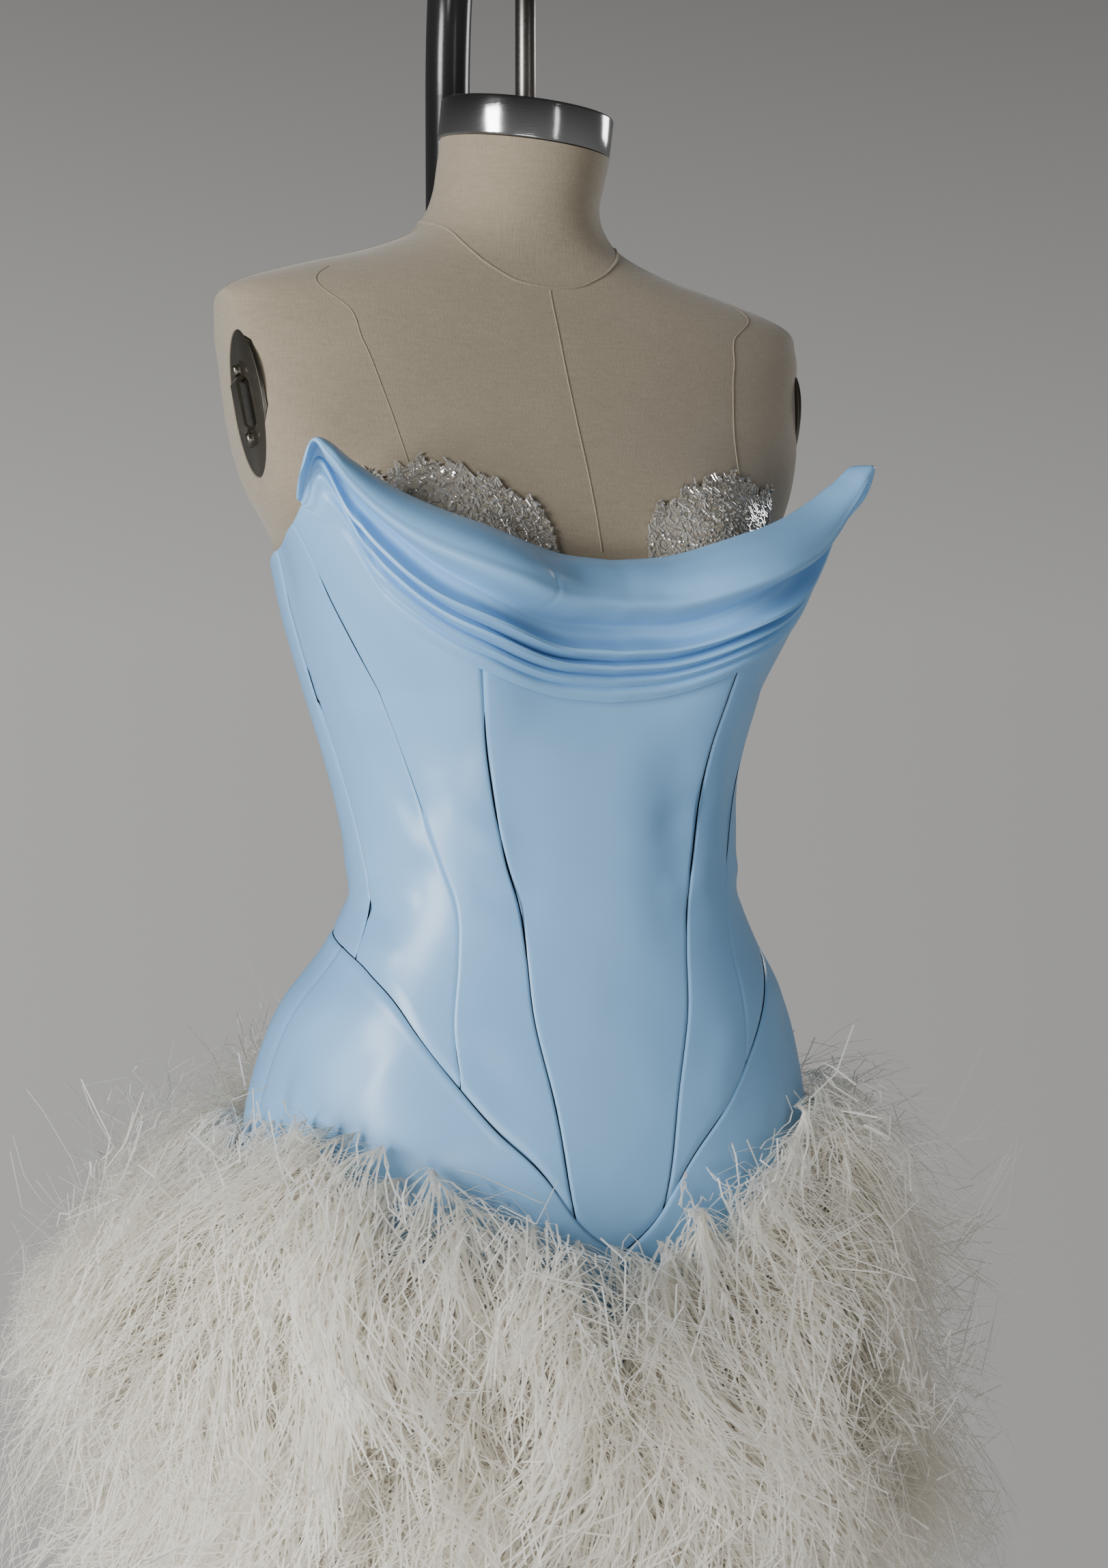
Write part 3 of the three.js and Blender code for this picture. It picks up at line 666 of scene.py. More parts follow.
@dataclass(frozen=True)
class Metal:
    """A worked metal or a glossy coat, with grain drawn out where a brush scale is below 1."""

    name: str
    colour: Colour
    roughness: float
    brush: Triple = (1.0, 1.0, 1.0)
    depth: float = 0.0
    metallic: float = 1.0
    grain: float = 600.0

    def build(self) -> Material:
        """Make the material."""
        material, graph, shader = start_material(self.name)
        place = graph.add("ShaderNodeTexCoord").outputs["Object"]
        grain = graph.noise(graph.stretched(place, self.brush), self.grain, 3.0).outputs["Fac"]
        graph.feed(shader, {
            "Roughness": graph.ranged(grain, self.roughness * 0.75, self.roughness * 1.3),
            "Normal": graph.bump(grain, self.depth, 0.0002).outputs["Normal"],
            "Base Color": (*self.colour, 1), "Metallic": self.metallic,
        })
        return material


@dataclass(frozen=True)
class Glass:
    """Silver-backed beads and crystals."""

    name: str = "silver_beads"
    colour: Colour = (0.80, 0.80, 0.79)
    deep: Colour = (0.36, 0.335, 0.29)

    def build(self) -> Material:
        """Make the material."""
        material, graph, shader = start_material(self.name)
        tint = graph.add("ShaderNodeAttribute", attribute_name="tint").outputs["Fac"]
        graph.feed(shader, {
            "Base Color": graph.blend(tint, self.deep, self.colour), "Metallic": 0.6, "Roughness": 0.14,
        })
        return material


@dataclass(frozen=True)
class Net:
    """Greige net under the beads."""

    name: str = "lace_net"
    colour: Colour = (0.32, 0.285, 0.225)
    thread: Colour = (0.42, 0.39, 0.33)
    mesh: float = 620.0
    thread_width: float = 0.12

    def build(self) -> Material:
        """Make the material."""
        material, graph, shader = start_material(self.name)
        weave = graph.add("ShaderNodeUVMap", uv_map="weave").outputs["UV"]
        cells = graph.add("ShaderNodeTexVoronoi", {
            "Vector": weave, "Scale": self.mesh,
        }, feature="DISTANCE_TO_EDGE", voronoi_dimensions="2D").outputs["Distance"]
        bump = graph.bump(cells, 0.6, 0.0005)
        bump.invert = True
        open_share = graph.ranged(cells, 0.0, 1.0, 0.0, self.thread_width)
        graph.feed(shader, {
            "Base Color": graph.blend(open_share, self.thread, self.colour),
            "Normal": bump.outputs["Normal"], "Roughness": 0.6,
        })
        return material


def built(kind: type, *values: object, **more: object) -> Material:
    """A wardrobe entry, whose finish is built when the wardrobe is."""
    return field(default_factory=lambda: kind(*values, **more).build())


@dataclass
class Wardrobe:
    """Every finish, built once."""

    satin: Material = built(Satin)
    linen: Material = built(Linen)
    # Dark blue strips sunk in the seam ditches: painted shade for the shadow along each seam, not real
    # thread.
    thread: Material = built(Satin, "seam_thread", (0.035, 0.075, 0.12), (0.02, 0.05, 0.09), 0.6)
    ostrich: Material = built(Ostrich)
    beads: Material = built(Glass)
    net: Material = built(Net)
    steel: Material = built(Metal, "brushed_steel", (0.38, 0.385, 0.39), 0.13, (0.15, 0.15, 3.0), 0.2)
    aged_steel: Material = built(Metal, "aged_steel", (0.21, 0.195, 0.165), 0.3, (3.0, 0.15, 0.15), 0.15)
    dark_steel: Material = built(Metal, "dark_steel", (0.16, 0.15, 0.14), 0.3)
    black: Material = built(Metal, "black_paint", (0.012, 0.012, 0.013), 0.22, metallic=0.0)
    zip_metal: Material = built(Metal, "zip_metal", (0.36, 0.44, 0.52), 0.3, metallic=0.8)


def dress_piece(
    obj: Object, material: Material | None, nodes: Sequence[str] = (), body: str = BODY,
) -> Object:
    """Finish one piece, hang it on its body, and hide the CAD nodes that it replaces.

    Args:
        obj: the finished mesh.
        material: its finish, or None to keep what it has.
        nodes: the CAD nodes that it replaces.
        body: the body that it rides on.

    Returns:
        The same object.
    """
    if material is not None:
        obj.data.materials.clear()
        obj.data.materials.append(material)
    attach(obj, body)
    if nodes:
        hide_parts(*nodes)
    LOG.info("%s: %d faces", obj.name, len(obj.data.polygons))
    return obj


def declare_sheet(obj: Object, cut: Cut) -> None:
    """Log a piece's flat cut."""
    width, length = round(cut.width, 3), round(cut.length, 3)
    min(round(cut.area, 5), width * length)
    LOG.info("%s cut %.3f x %.3f m, %.4f m2", obj.name, cut.width, cut.length, cut.area)


# --- dress form
@dataclass
class DressForm:
    """The padded form under its linen cover, its neck cap and its armhole plates."""

    wardrobe: Wardrobe
    bottom: float = 742
    neck_top: float = 1477.4
    cap_radius: float = 50.2
    cap_height: float = 22
    pocket_floor: float = 165.5
    pocket_y: float = -4
    pocket_z: float = 1322
    plate_half: tuple[float, float] = (26, 40)
    plate_thick: float = 3
    plate_tilt: float = 0.16
    bore_depth: float = 13
    gap: float = 0.3
    seam_radius: float = 0.45
    cord_radius: float = 0.8
    bolt_radius: float = 3.4
    strap_lean: float = -0.12

    def build(self) -> None:
        """Make and dress every piece of the form."""
        dress_piece(self.cover(), self.wardrobe.linen, ["form_body"])
        dress_piece(self.seams(), self.wardrobe.linen)
        dress_piece(self.cap(), self.wardrobe.steel, ["neck_cap"])
        for side in Side:
            nodes = [f"arm_plate_{side.label}"]
            dress_piece(self.plate(side), self.wardrobe.aged_steel, nodes)

    def on_arm(self, points: Array, side: Side) -> Array:
        """Place points made for the left armhole, facing +X, or their mirror image."""
        c, s = math.cos(self.plate_tilt), math.sin(self.plate_tilt)
        points = np.asarray(points, float)
        x = points[..., 0] * c + points[..., 2] * s + self.pocket_floor
        z = -points[..., 0] * s + points[..., 2] * c + self.pocket_z
        return np.stack([x * side.value, points[..., 1] + self.pocket_y, z], -1)

    def oval(self, name: str, side: Side, profile: Profile, sides: int = 72) -> Object:
        """An oval disc whose profile gives (size added to the oval, distance out)."""
        turn = np.linspace(0, 2 * np.pi, sides, endpoint=False) * side.value
        wide, high = self.plate_half
        rings = np.array([
            np.stack([np.full(sides, out), (wide + grow) * np.cos(turn), (high + grow) * np.sin(turn)], -1)
            for grow, out in profile
        ])
        return stack(name, self.on_arm(rings, side))

    def cover(self) -> Object:
        """The linen-covered form, with a pocket at each armhole."""
        angles = np.linspace(-180, 180, 144, endpoint=False)
        levels = np.concatenate([np.linspace(self.bottom, 1250, 40), np.linspace(1255, self.neck_top, 90)])
        form = stack("form_cover", FIGURE.point(angles[None, :], levels[:, None]))
        flat = self.gap + self.plate_thick
        cutters = []
        for side in Side:
            cutters.append(self.oval(f"pocket_{side.label}", side, [(0.6, 0), (0.6, 60)]))
            cutters.append(self.oval(f"flat_{side.label}", side, [(34, flat), (34, 60)]))
        for cutter in cutters:
            modifier = form.modifiers.new(cutter.name, "BOOLEAN")
            modifier.operation = "DIFFERENCE"
            modifier.object = cutter
            modifier.solver = "EXACT"
        result = plain_mesh(form, "form_cover")
        for cutter in cutters:
            bpy.data.objects.remove(cutter)
        smooth(result.data, 40)
        return result

    def seam(self, angles: Array, levels: Array, radius: float | None = None) -> Object:
        """A raised seam or cord on the form, half sunk in the cover."""
        path = FIGURE.skin(np.asarray(angles, float), np.asarray(levels, float), 0.0)
        return sweep("form_seam", path, radius or self.seam_radius, 6)

    def seams(self) -> Object:
        """The cover's seams, and the cord round the base of the neck."""
        count = 60
        rise = np.linspace(0, 1, count)
        parts = [self.seam(np.zeros(count), 1392 - 152 * rise)]
        chest = Spline((
            (1278, 34), (1295, 33), (1311, 32.5), (1331, 33), (1353, 34.5), (1373, 37), (1397, 55.5),
        ))
        for sign in (-1, 1):
            heights = 1397 - 119 * rise
            parts.append(self.seam(sign * chest(heights), heights))
            parts.append(self.seam(sign * 90 * np.ones(count), 1386 + 48 * rise))
            parts.append(self.seam(sign * (145 + 20 * (1 - rise)), 1390 - 180 * rise))
        parts.append(self.seam(np.full(count, 180), 1424 - 218 * rise))
        neck = Spline((
            (0, 1393.5), (5, 1395.5), (11, 1401), (22, 1409), (46, 1422), (95, 1432.5), (180, 1434),
        ))
        half_round = np.linspace(0, 180, 80)
        angles = np.concatenate([-half_round[::-1], half_round[1:]])
        parts.append(self.seam(angles, neck(np.abs(angles)), self.cord_radius))
        return joined("form_seams", parts)

    def cap(self) -> Object:
        """The round steel cap, square to the leaning neck, with softened edges and a shallow dish."""
        half = self.cap_height / 2
        r = self.cap_radius
        profile = [
            (r - 1.2, -half), (r - 0.3, -half + 0.4), (r, -half + 1.2), (r, half - 1.4),
            (r - 0.4, half - 0.5), (r - 1.4, half), (r - 4.5, half), (r - 5.2, half - 0.8),
            (r - 6, half - 1.2), (6.8, half - 1.2), (6.7, half - self.bore_depth),
        ]
        cap = lathe("neck_cap_round", profile, 96)
        lean, wide = (float(FIGURE.columns[name](self.neck_top)) for name in ("lean", "wide"))
        square = Vector((lean * Figure.SIDE_LEAN, -lean, 1)).normalized()
        middle = self.neck_top - lean * wide + (self.gap + half) / square.z
        turn = Vector((0, 0, 1)).rotation_difference(square)
        for vertex in cap.data.vertices:
            vertex.co = turn @ vertex.co + Vector((0, 0, middle / METRE))
        return cap

    def plate(self, side: Side) -> Object:
        """The oval plate with its bent strap and two bolts."""
        low, high = self.gap, self.gap + self.plate_thick
        disc = self.oval("disc", side, [(-0.8, low), (0, low + 0.6), (0, high - 0.6), (-0.8, high)])
        c, s = math.cos(self.strap_lean), math.sin(self.strap_lean)
        lean = np.array([[1, 0, 0], [0, c, -s], [0, s, c]])
        half, foot, rise, thick, wide = 23.0, 10.0, 6.0, 2.0, 5.5
        line = [
            (0, -half), (0, foot - half - 1), (1, foot - half), (rise - thick - 1, foot - half),
            (rise - thick, foot - half + 1), (rise - thick, half - foot - 1), (rise - thick - 1, half - foot),
            (1, half - foot), (0, half - foot + 1), (0, half),
        ]
        path = np.array([(x, 0.0, z) for x, z in line])
        heading = np.gradient(path, axis=0)
        heading /= np.linalg.norm(heading, axis=1, keepdims=True)
        facing = np.stack([heading[:, 2], np.zeros(len(path)), -heading[:, 0]], -1)
        rings = np.array([
            [p + f * thick * a + np.array((0, wide * b, 0)) for a, b in ((0, 1), (0, -1), (1, -1), (1, 1))]
            for p, f in zip(path, facing)
        ])
        parts = [disc]
        shift = np.array((high, 0, 0))
        strap = self.on_arm(rings @ lean.T + shift, side)
        parts.append(stack("strap", strap if side is Side.LEFT else strap[:, ::-1]))
        for height in (half - 4, 4 - half):
            sides = 24
            around = np.linspace(0, 2 * np.pi, sides, endpoint=False) * side.value
            bolt = np.array([
                np.stack([np.full(sides, thick + out), r * np.cos(around), r * np.sin(around) + height], -1)
                for r, out in ((self.bolt_radius, -0.6), (self.bolt_radius, 1.8), (2.9, 2.7), (1.6, 3.0))
            ])
            parts.append(stack("bolt", self.on_arm(bolt @ lean.T + shift, side)))
        return joined(f"arm_plate_{side.label}_bolted", parts)


# --- stand
@dataclass
class Stand:
    """The rod, the gooseneck, the pole and the base that hold the form."""

    wardrobe: Wardrobe
    rod_radius: float = 6
    rod_foot: float = 1487.7
    pole_radius: float = 16.5
    pole_x: float = 87
    pole_y: float = 335
    bend: float = 1600
    bore: float = 18
    base_radius: float = 300
    base_thick: float = 8
    base_centre: tuple[float, float] = (45, 160)

    def build(self) -> None:
        """Make and dress every piece of the stand."""
        foot, top, r = self.rod_foot, self.bend + self.bore, self.rod_radius
        bar = [(r - 0.4, foot), (r, foot + 0.5), (r, top - 0.8), (r - 0.4, top - 0.3)]
        rod = lathe("hang_rod_round", bar, 40)
        dress_piece(rod, self.wardrobe.dark_steel, ["hang_rod"])
        dress_piece(self.pole(), self.wardrobe.black, ["stand_pole"])
        dress_piece(self.gooseneck(), self.wardrobe.black, ["stand_gooseneck"])
        r, t = self.base_radius, self.base_thick
        rim = [(r - 1.5, 0), (r, 1.5), (r, t - 2), (r - 2, t)]
        base = lathe("stand_base_plate", rim, 160, (*self.base_centre, 0))
        dress_piece(base, self.wardrobe.black, ["stand_base"])

    def pole(self) -> Object:
        """The upright tube."""
        r, foot, top = self.pole_radius, self.base_thick + 0.3, self.bend - 0.3
        return lathe("stand_pole_tube", [(r, foot), (r, 900), (r, top)], 48, (self.pole_x, self.pole_y, 0))

    def gooseneck(self) -> Object:
        """Half a ring from the pole's top to the axis."""
        span = math.hypot(self.pole_x, self.pole_y)
        across = np.array((self.pole_x, self.pole_y, 0)) / span
        turn = np.linspace(0, np.pi, 64)[:, None]
        spoke = across * np.cos(turn) + np.array((0, 0, 1.0)) * np.sin(turn)
        path = across * span / 2 + spoke * span / 2 + np.array((0, 0, self.bend))
        return sweep("gooseneck_tube", path, self.pole_radius, 48)


# --- bodice and skirt
# Millimetres round the waist for one degree.
DEGREE = 1.9


@dataclass(frozen=True)
class Crease:
    """A soft ridge (or trough, if its height is below 0) between two places on the figure."""

    angle_from: float
    level_from: float
    angle_to: float
    level_to: float
    width: float
    height: float

    def lift(self, angle: Array, level: Array) -> Array:
        """How far the crease moves the cloth at each place."""
        ax, ay = self.angle_from * DEGREE, self.level_from
        dx, dy = (self.angle_to - self.angle_from) * DEGREE, self.level_to - self.level_from
        size = math.hypot(dx, dy)
        t = ((angle * DEGREE - ax) * dx + (level - ay) * dy) / size**2
        off = ((angle * DEGREE - ax) * dy - (level - ay) * dx) / size
        ends = np.clip(1 - np.abs(2 * t - 1) ** 3, 0, 1)
        return self.height * ends * np.exp(-((off / self.width) ** 2))


# From angle and height to angle and height, then width and height of the ridge.
CREASES = tuple(Crease(*row) for row in (
    (-88, 1047, -66, 1040, 4, -0.9), (-86, 1058, -58, 1052, 6, 0.8), (-84, 1066, -50, 1072, 7, -0.7),
    (-80, 1030, -58, 1022, 6, 0.7), (-40, 1060, -18, 1046, 9, -0.6), (-46, 1100, -24, 1082, 10, 0.6),
    (12, 1090, 38, 1108, 10, -0.6), (14, 1052, 36, 1060, 9, 0.6), (60, 1050, 86, 1044, 5, -0.8),
    (56, 1062, 84, 1060, 6, 0.7), (-30, 985, -14, 930, 10, -0.6), (30, 985, 16, 930, 10, 0.6),
    (-70, 1150, -56, 1090, 12, -0.9), (70, 1150, 58, 1090, 12, -0.9), (100, 1050, 140, 1044, 6, -0.8),
    (104, 1064, 150, 1060, 8, 0.7), (-100, 1050, -140, 1042, 6, -0.8), (-104, 1066, -150, 1058, 8, 0.7),
    (160, 1100, 130, 1076, 9, -0.6), (-160, 1096, -132, 1080, 9, -0.6), (-76, 990, -50, 960, 14, -0.8),
    (76, 990, 52, 962, 14, -0.8), (-64, 1232, -42, 1120, 15, -1.2), (-50, 1236, -30, 1150, 14, 0.8),
    (-74, 1190, -60, 1070, 13, 0.9), (-24, 1150, -20, 1020, 16, -0.7), (18, 1150, 24, 1030, 15, -0.8),
    (44, 1160, 52, 1060, 13, -0.9), (-52, 975, -36, 905, 16, 0.9), (58, 985, 44, 905, 15, -0.9),
    (4, 1140, 6, 1000, 18, 0.6), (-14, 930, -40, 880, 15, -0.8), (26, 900, 46, 950, 14, 0.7),
))
# How much deeper the creases are made, all together.
CREASE_DEPTH = 1.9


def creased(angle: Array, level: Array) -> Array:
    """All the creases together."""
    return CREASE_DEPTH * sum(crease.lift(angle, level) for crease in CREASES)


@dataclass
class Panel:
    """One cut panel of the bodice between two seams."""

    name: str
    left: SeamLine
    right: SeamLine
    left_roll: float
    right_roll: float


@dataclass
class Bodice:
    """The boned corset bodice, with its nine panels."""

    wardrobe: Wardrobe
    clear: float = 3.0
    wall: float = 1.6
    gap: float = 0.3
    rows: int = 76
    columns: int = 32
    roll_width: float = 0.8
    basque_roll: float = 1.2
    # How far the painted-shade seam strips sink below the middle of the cloth.
    shade_line_sink: float = 0.25

    def panels(self) -> list[Panel]:
        """Every panel, named for the form's own side."""
        def flip(seam: SeamLine) -> SeamLine:
            return lambda level: -seam(level)

        def back(level: Array) -> Array:
            return np.full_like(np.asarray(level, float), 180.0)

        half = (
            ("front", FRONT_SEAM, PRINCESS_SEAM, 1.5, 0.7),
            ("side_front", PRINCESS_SEAM, SIDE_SEAM, 0.7, 1.3),
            ("side", SIDE_SEAM, BACK_SEAM, 1.3, 1.3), ("back", BACK_SEAM, back, 1.3, 1.3),
        )
        found = [Panel("front_center", flip(FRONT_SEAM), FRONT_SEAM, 1.5, 1.5)]
        for name, left, right, near_front, near_back in half:
            found.append(Panel(f"{name}_left", left, right, near_front, near_back))
            found.append(Panel(f"{name}_right", flip(right), flip(left), near_back, near_front))
        return found

    def build(self) -> None:
        """Make and dress each panel."""
        for panel in self.panels():
            obj, cut = self.panel(panel)
            dress_piece(obj, self.wardrobe.satin, [f"bodice_{panel.name}"])
            declare_sheet(obj, cut)
        dress_piece(self.threads(), self.wardrobe.thread)

    def threads(self) -> Object:
        """Dark strips sunk in the ditch of every seam, and along the basque: painted shade for the shadow in
        each seam.
        """
        share = np.linspace(0, 1, 90)
        sunk = self.clear + self.wall / 2 - self.shade_line_sink
        parts = []
        for panel in self.panels():
            angle = np.zeros_like(share)
            for _ in range(12):
                foot = BASQUE(np.abs(angle))
                level = foot + (BODICE_TOP(np.abs(angle)) - 4 - foot) * share
                angle = panel.left(level)
            radius = 0.25 if panel.left_roll < 1 else 0.42
            parts.append(sweep("thread", FIGURE.dress(angle, level, sunk), radius, 6))
        around = np.linspace(-180, 180, 360)
        basque = FIGURE.skin(around, BASQUE(np.abs(around)), sunk)
        parts.append(sweep("thread", basque[:-1], 0.35, 6))
        return joined("bodice_seam_threads", parts)

    def across(self, low: Array, high: Array, level: Array) -> Array:
        """The straight distance between two angles at a height."""
        middle = self.clear + self.wall / 2
        return np.linalg.norm(FIGURE.dress(high, level, middle) - FIGURE.dress(low, level, middle), axis=-1)

    def panel(self, panel: Panel) -> tuple[Object, Cut]:
        """One panel, rolled in a little along its seams."""
        middle = self.clear + self.wall / 2
        share_u = np.tile(np.linspace(0, 1, self.columns), (self.rows, 1))
        share_v = np.tile(np.linspace(0, 1, self.rows)[:, None], (1, self.columns))
        # Points are drawn towards the seams, where the cloth rolls.
        share_u = 0.5 - 0.5 * np.cos(np.pi * share_u)
        angle, level = np.zeros_like(share_u), np.full_like(share_u, 1100.0)
        for _ in range(16):
            low, high = panel.left(level), panel.right(level)
            inset = self.gap / 2 / self.across(low, high, level)
            angle = low + (high - low) * (inset + (1 - 2 * inset) * share_u)
            floor = BASQUE(np.abs(angle)) + self.gap
            level = floor + (BODICE_TOP(np.abs(angle)) - floor) * share_v

        def surface(a: Array, b: Array) -> Array:
            low, high = panel.left(b), panel.right(b)
            spread = np.maximum(high - low, 1e-3)
            width = self.across(low, high, b)
            left = panel.left_roll * np.exp(-((np.abs(a - low) / spread * width / self.roll_width) ** 2))
            right = panel.right_roll * np.exp(-((np.abs(high - a) / spread * width / self.roll_width) ** 2))
            foot = self.basque_roll * np.exp(-((b - BASQUE(np.abs(a))) ** 2))
            dip = np.maximum(np.maximum(left, right), foot)
            return FIGURE.dress(a, b, middle - dip + creased(a, b))

        return cloth_shell(f"bodice_{panel.name}_satin", surface, angle, level, self.wall)


@dataclass
class Skirt:
    """The hip panels and skirt foundation under the feathers."""

    wardrobe: Wardrobe
    hem: float = 690
    clear: float = 3.0
    wall: float = 1.6
    gap: float = 0.3
    rows: int = 60
    basque_roll: float = 1.2
    side_roll: float = 0.7
    side_width: float = 1.2
    hip_degree: float = 2.4
    tuck: float = 0.35

    def build(self) -> None:
        """Make and dress the three skirt panels."""
        for name, start, stop, columns in (
            ("skirt_front", -90, 90, 150), ("skirt_back_left", 90, 180, 64),
            ("skirt_back_right", -180, -90, 64),
        ):
            obj, cut = self.panel(name, start, stop, columns)
            dress_piece(obj, self.wardrobe.satin, [name])
            declare_sheet(obj, cut)

    def panel(self, name: str, start: float, stop: float, columns: int) -> tuple[Object, Cut]:
        """One panel, hung from the basque seam."""
        middle = self.clear + self.wall / 2
        angle = np.tile(np.linspace(start + 0.06, stop - 0.06, columns), (self.rows, 1))
        share = 1 - np.linspace(1, 0, self.rows)[:, None] ** 1.5
        level = self.hem + (BASQUE(np.abs(angle)) - self.gap - self.hem) * share

        def surface(a: Array, b: Array) -> Array:
            edge = BASQUE(np.abs(a)) - b
            side = np.minimum(np.abs(a - start), np.abs(stop - a)) * self.hip_degree
            dip = self.basque_roll * np.exp(-(edge**2))
            dip += self.side_roll * np.exp(-((side / self.side_width) ** 2))
            tuck = self.tuck * np.exp(-(((edge - 4) / 1.2) ** 2)) * (np.abs(a + 50) < 30)
            return FIGURE.skirt(a, b, middle - dip + tuck + creased(a, b))

        return cloth_shell(f"{name}_satin", surface, angle, level, self.wall)


# --- cowl
@dataclass
class Cowl:
    """The bias-cut cowl: a rolled band over swagged folds that gather into both wings."""

    wardrobe: Wardrobe
    end: float = 58
    wall: float = 1.5
    rows: int = 124
    columns: int = 190
    lip: float = 0.2
    turn_in: float = 15
    band_from: float = 0.5
    band_soft: float = 0.14
    seam_angle: float = -19.0
    seam_width: float = 0.35
    seam_depth: float = 0.8
    ripple: float = 0.9
    turn_under: float = 5.0

    def point(self, angle: Array, across: Array) -> Array:
        """The middle of the cloth; past 1 it turns over the top edge and down inside.

        Args:
            angle: degrees from the centre front.
            across: 0 at the lower edge, 1 at the top edge.

        Returns:
            Points in millimetres.
        """
        off = np.abs(angle)
        body = np.clip(across, 0, 1)
        inside = np.clip(across - 1, 0, self.lip) / self.lip
        low, high = COWL_BOTTOM(off), COWL_TOP(off)
        on_band = np.clip((body - self.band_from) / self.band_soft, 0, 1)
        fade = FOLD_FADE(off) + (BAND_FADE(off) - FOLD_FADE(off)) * on_band
        level = low + (high - low) * (1 - (1 - body) ** FOLD_CROWD(off)) - self.turn_in * inside**1.5 * fade
        flat = FOLDS.ys[0]
        run = np.sin(angle * 0.16 + 21 * body) * np.sin(np.pi * body)
        fine = self.ripple * run * np.clip(1 - off / 60, 0, 1)
        seam = np.exp(-(((angle - self.seam_angle) / self.seam_width) ** 2))
        seam *= on_band - np.clip((body - 0.9) / 0.05, 0, 1)
        out = flat + (FOLDS(body) - flat + fine) * fade
        out = out - self.turn_under * inside * fade - self.seam_depth * seam
        return FIGURE.dress(angle, level, out)

    def build(self) -> None:
        """Make and dress the cowl."""
        turn = np.linspace(-1, 1, self.columns)
        angle = np.tile(self.end * np.sign(turn) * np.abs(turn) ** 0.92, (self.rows, 1))
        across = np.tile(np.linspace(0, 1 + self.lip, self.rows)[:, None], (1, self.columns))
        obj, cut = cloth_shell("cowl_satin", self.point, angle, across, self.wall)
        dress_piece(obj, self.wardrobe.satin, ["cowl"])
        declare_sheet(obj, cut)


# --- small shapes grown on a mesh
class Grower:
    """A node group with named inputs that copies a small shape over a mesh, and ends as one plain mesh."""

    NAME = ""
    INPUTS: dict[str, str] = {}

    def __init__(self, material: Material) -> None:
        """Build the group, with the material that its result gets."""
        self.tree = bpy.data.node_groups.new(self.NAME, "GeometryNodeTree")
        face = self.tree.interface
        face.new_socket("Geometry", in_out="INPUT", socket_type="NodeSocketGeometry")
        self.sockets = {
            name: face.new_socket(name, in_out="INPUT", socket_type=f"NodeSocket{kind}").identifier
            for name, kind in self.INPUTS.items()
        }
        face.new_socket("Geometry", in_out="OUTPUT", socket_type="NodeSocketGeometry")
        self.graph = Graph(self.tree)
        self.entry = self.graph.add("NodeGroupInput").outputs
        real = self.graph.add("GeometryNodeRealizeInstances", {"Geometry": self.grown()})
        done = self.graph.add("GeometryNodeSetMaterial", {
            "Geometry": real.outputs["Geometry"], "Material": material,
        })
        self.graph.add("NodeGroupOutput", {"Geometry": done.outputs["Geometry"]})

    def grown(self) -> Socket:
        """Lay out the nodes from the group's inputs to its shapes."""
        raise NotImplementedError

    def chance(self, seed: object, low: float, high: float) -> Socket:
        """A random number for each copy."""
        return self.graph.add("FunctionNodeRandomValue", {
            "Seed": seed, 2: low, 3: high,
        }, data_type="FLOAT").outputs[1]

    def turned(self, rotation: Socket, axis: Triple, angle: object) -> Socket:
        """A rotation, turned about one of its own axes."""
        by = self.graph.add("FunctionNodeAxisAngleToRotation", {"Axis": axis, "Angle": angle})
        return self.graph.add("FunctionNodeRotateRotation", {
            "Rotation": rotation, "Rotate By": by.outputs["Rotation"],
        }, rotation_space="LOCAL").outputs["Rotation"]

    def copies(self, seed: int, inputs: dict) -> Socket:
        """Copies of a shape on points, each with a tint of its own."""
        placed = self.graph.add("GeometryNodeInstanceOnPoints", inputs)
        return self.graph.add("GeometryNodeStoreNamedAttribute", {
            "Geometry": placed.outputs["Instances"], "Name": "tint", "Value": self.chance(seed, 0.0, 1.0),
        }, data_type="FLOAT", domain="INSTANCE").outputs["Geometry"]

    def grow(self, ground: Object, name: str, values: dict[str, float]) -> Object:
        """Run the group on an object.

        Args:
            ground: what the shapes grow on; it is used up.
            name: the name of the result.
            values: the group's inputs.

        Returns:
            The result as a plain mesh.
        """
        modifier = ground.modifiers.new(self.NAME, "NODES")
        modifier.node_group = self.tree
        for socket, value in values.items():
            modifier[self.sockets[socket]] = value
        return plain_mesh(ground, name)


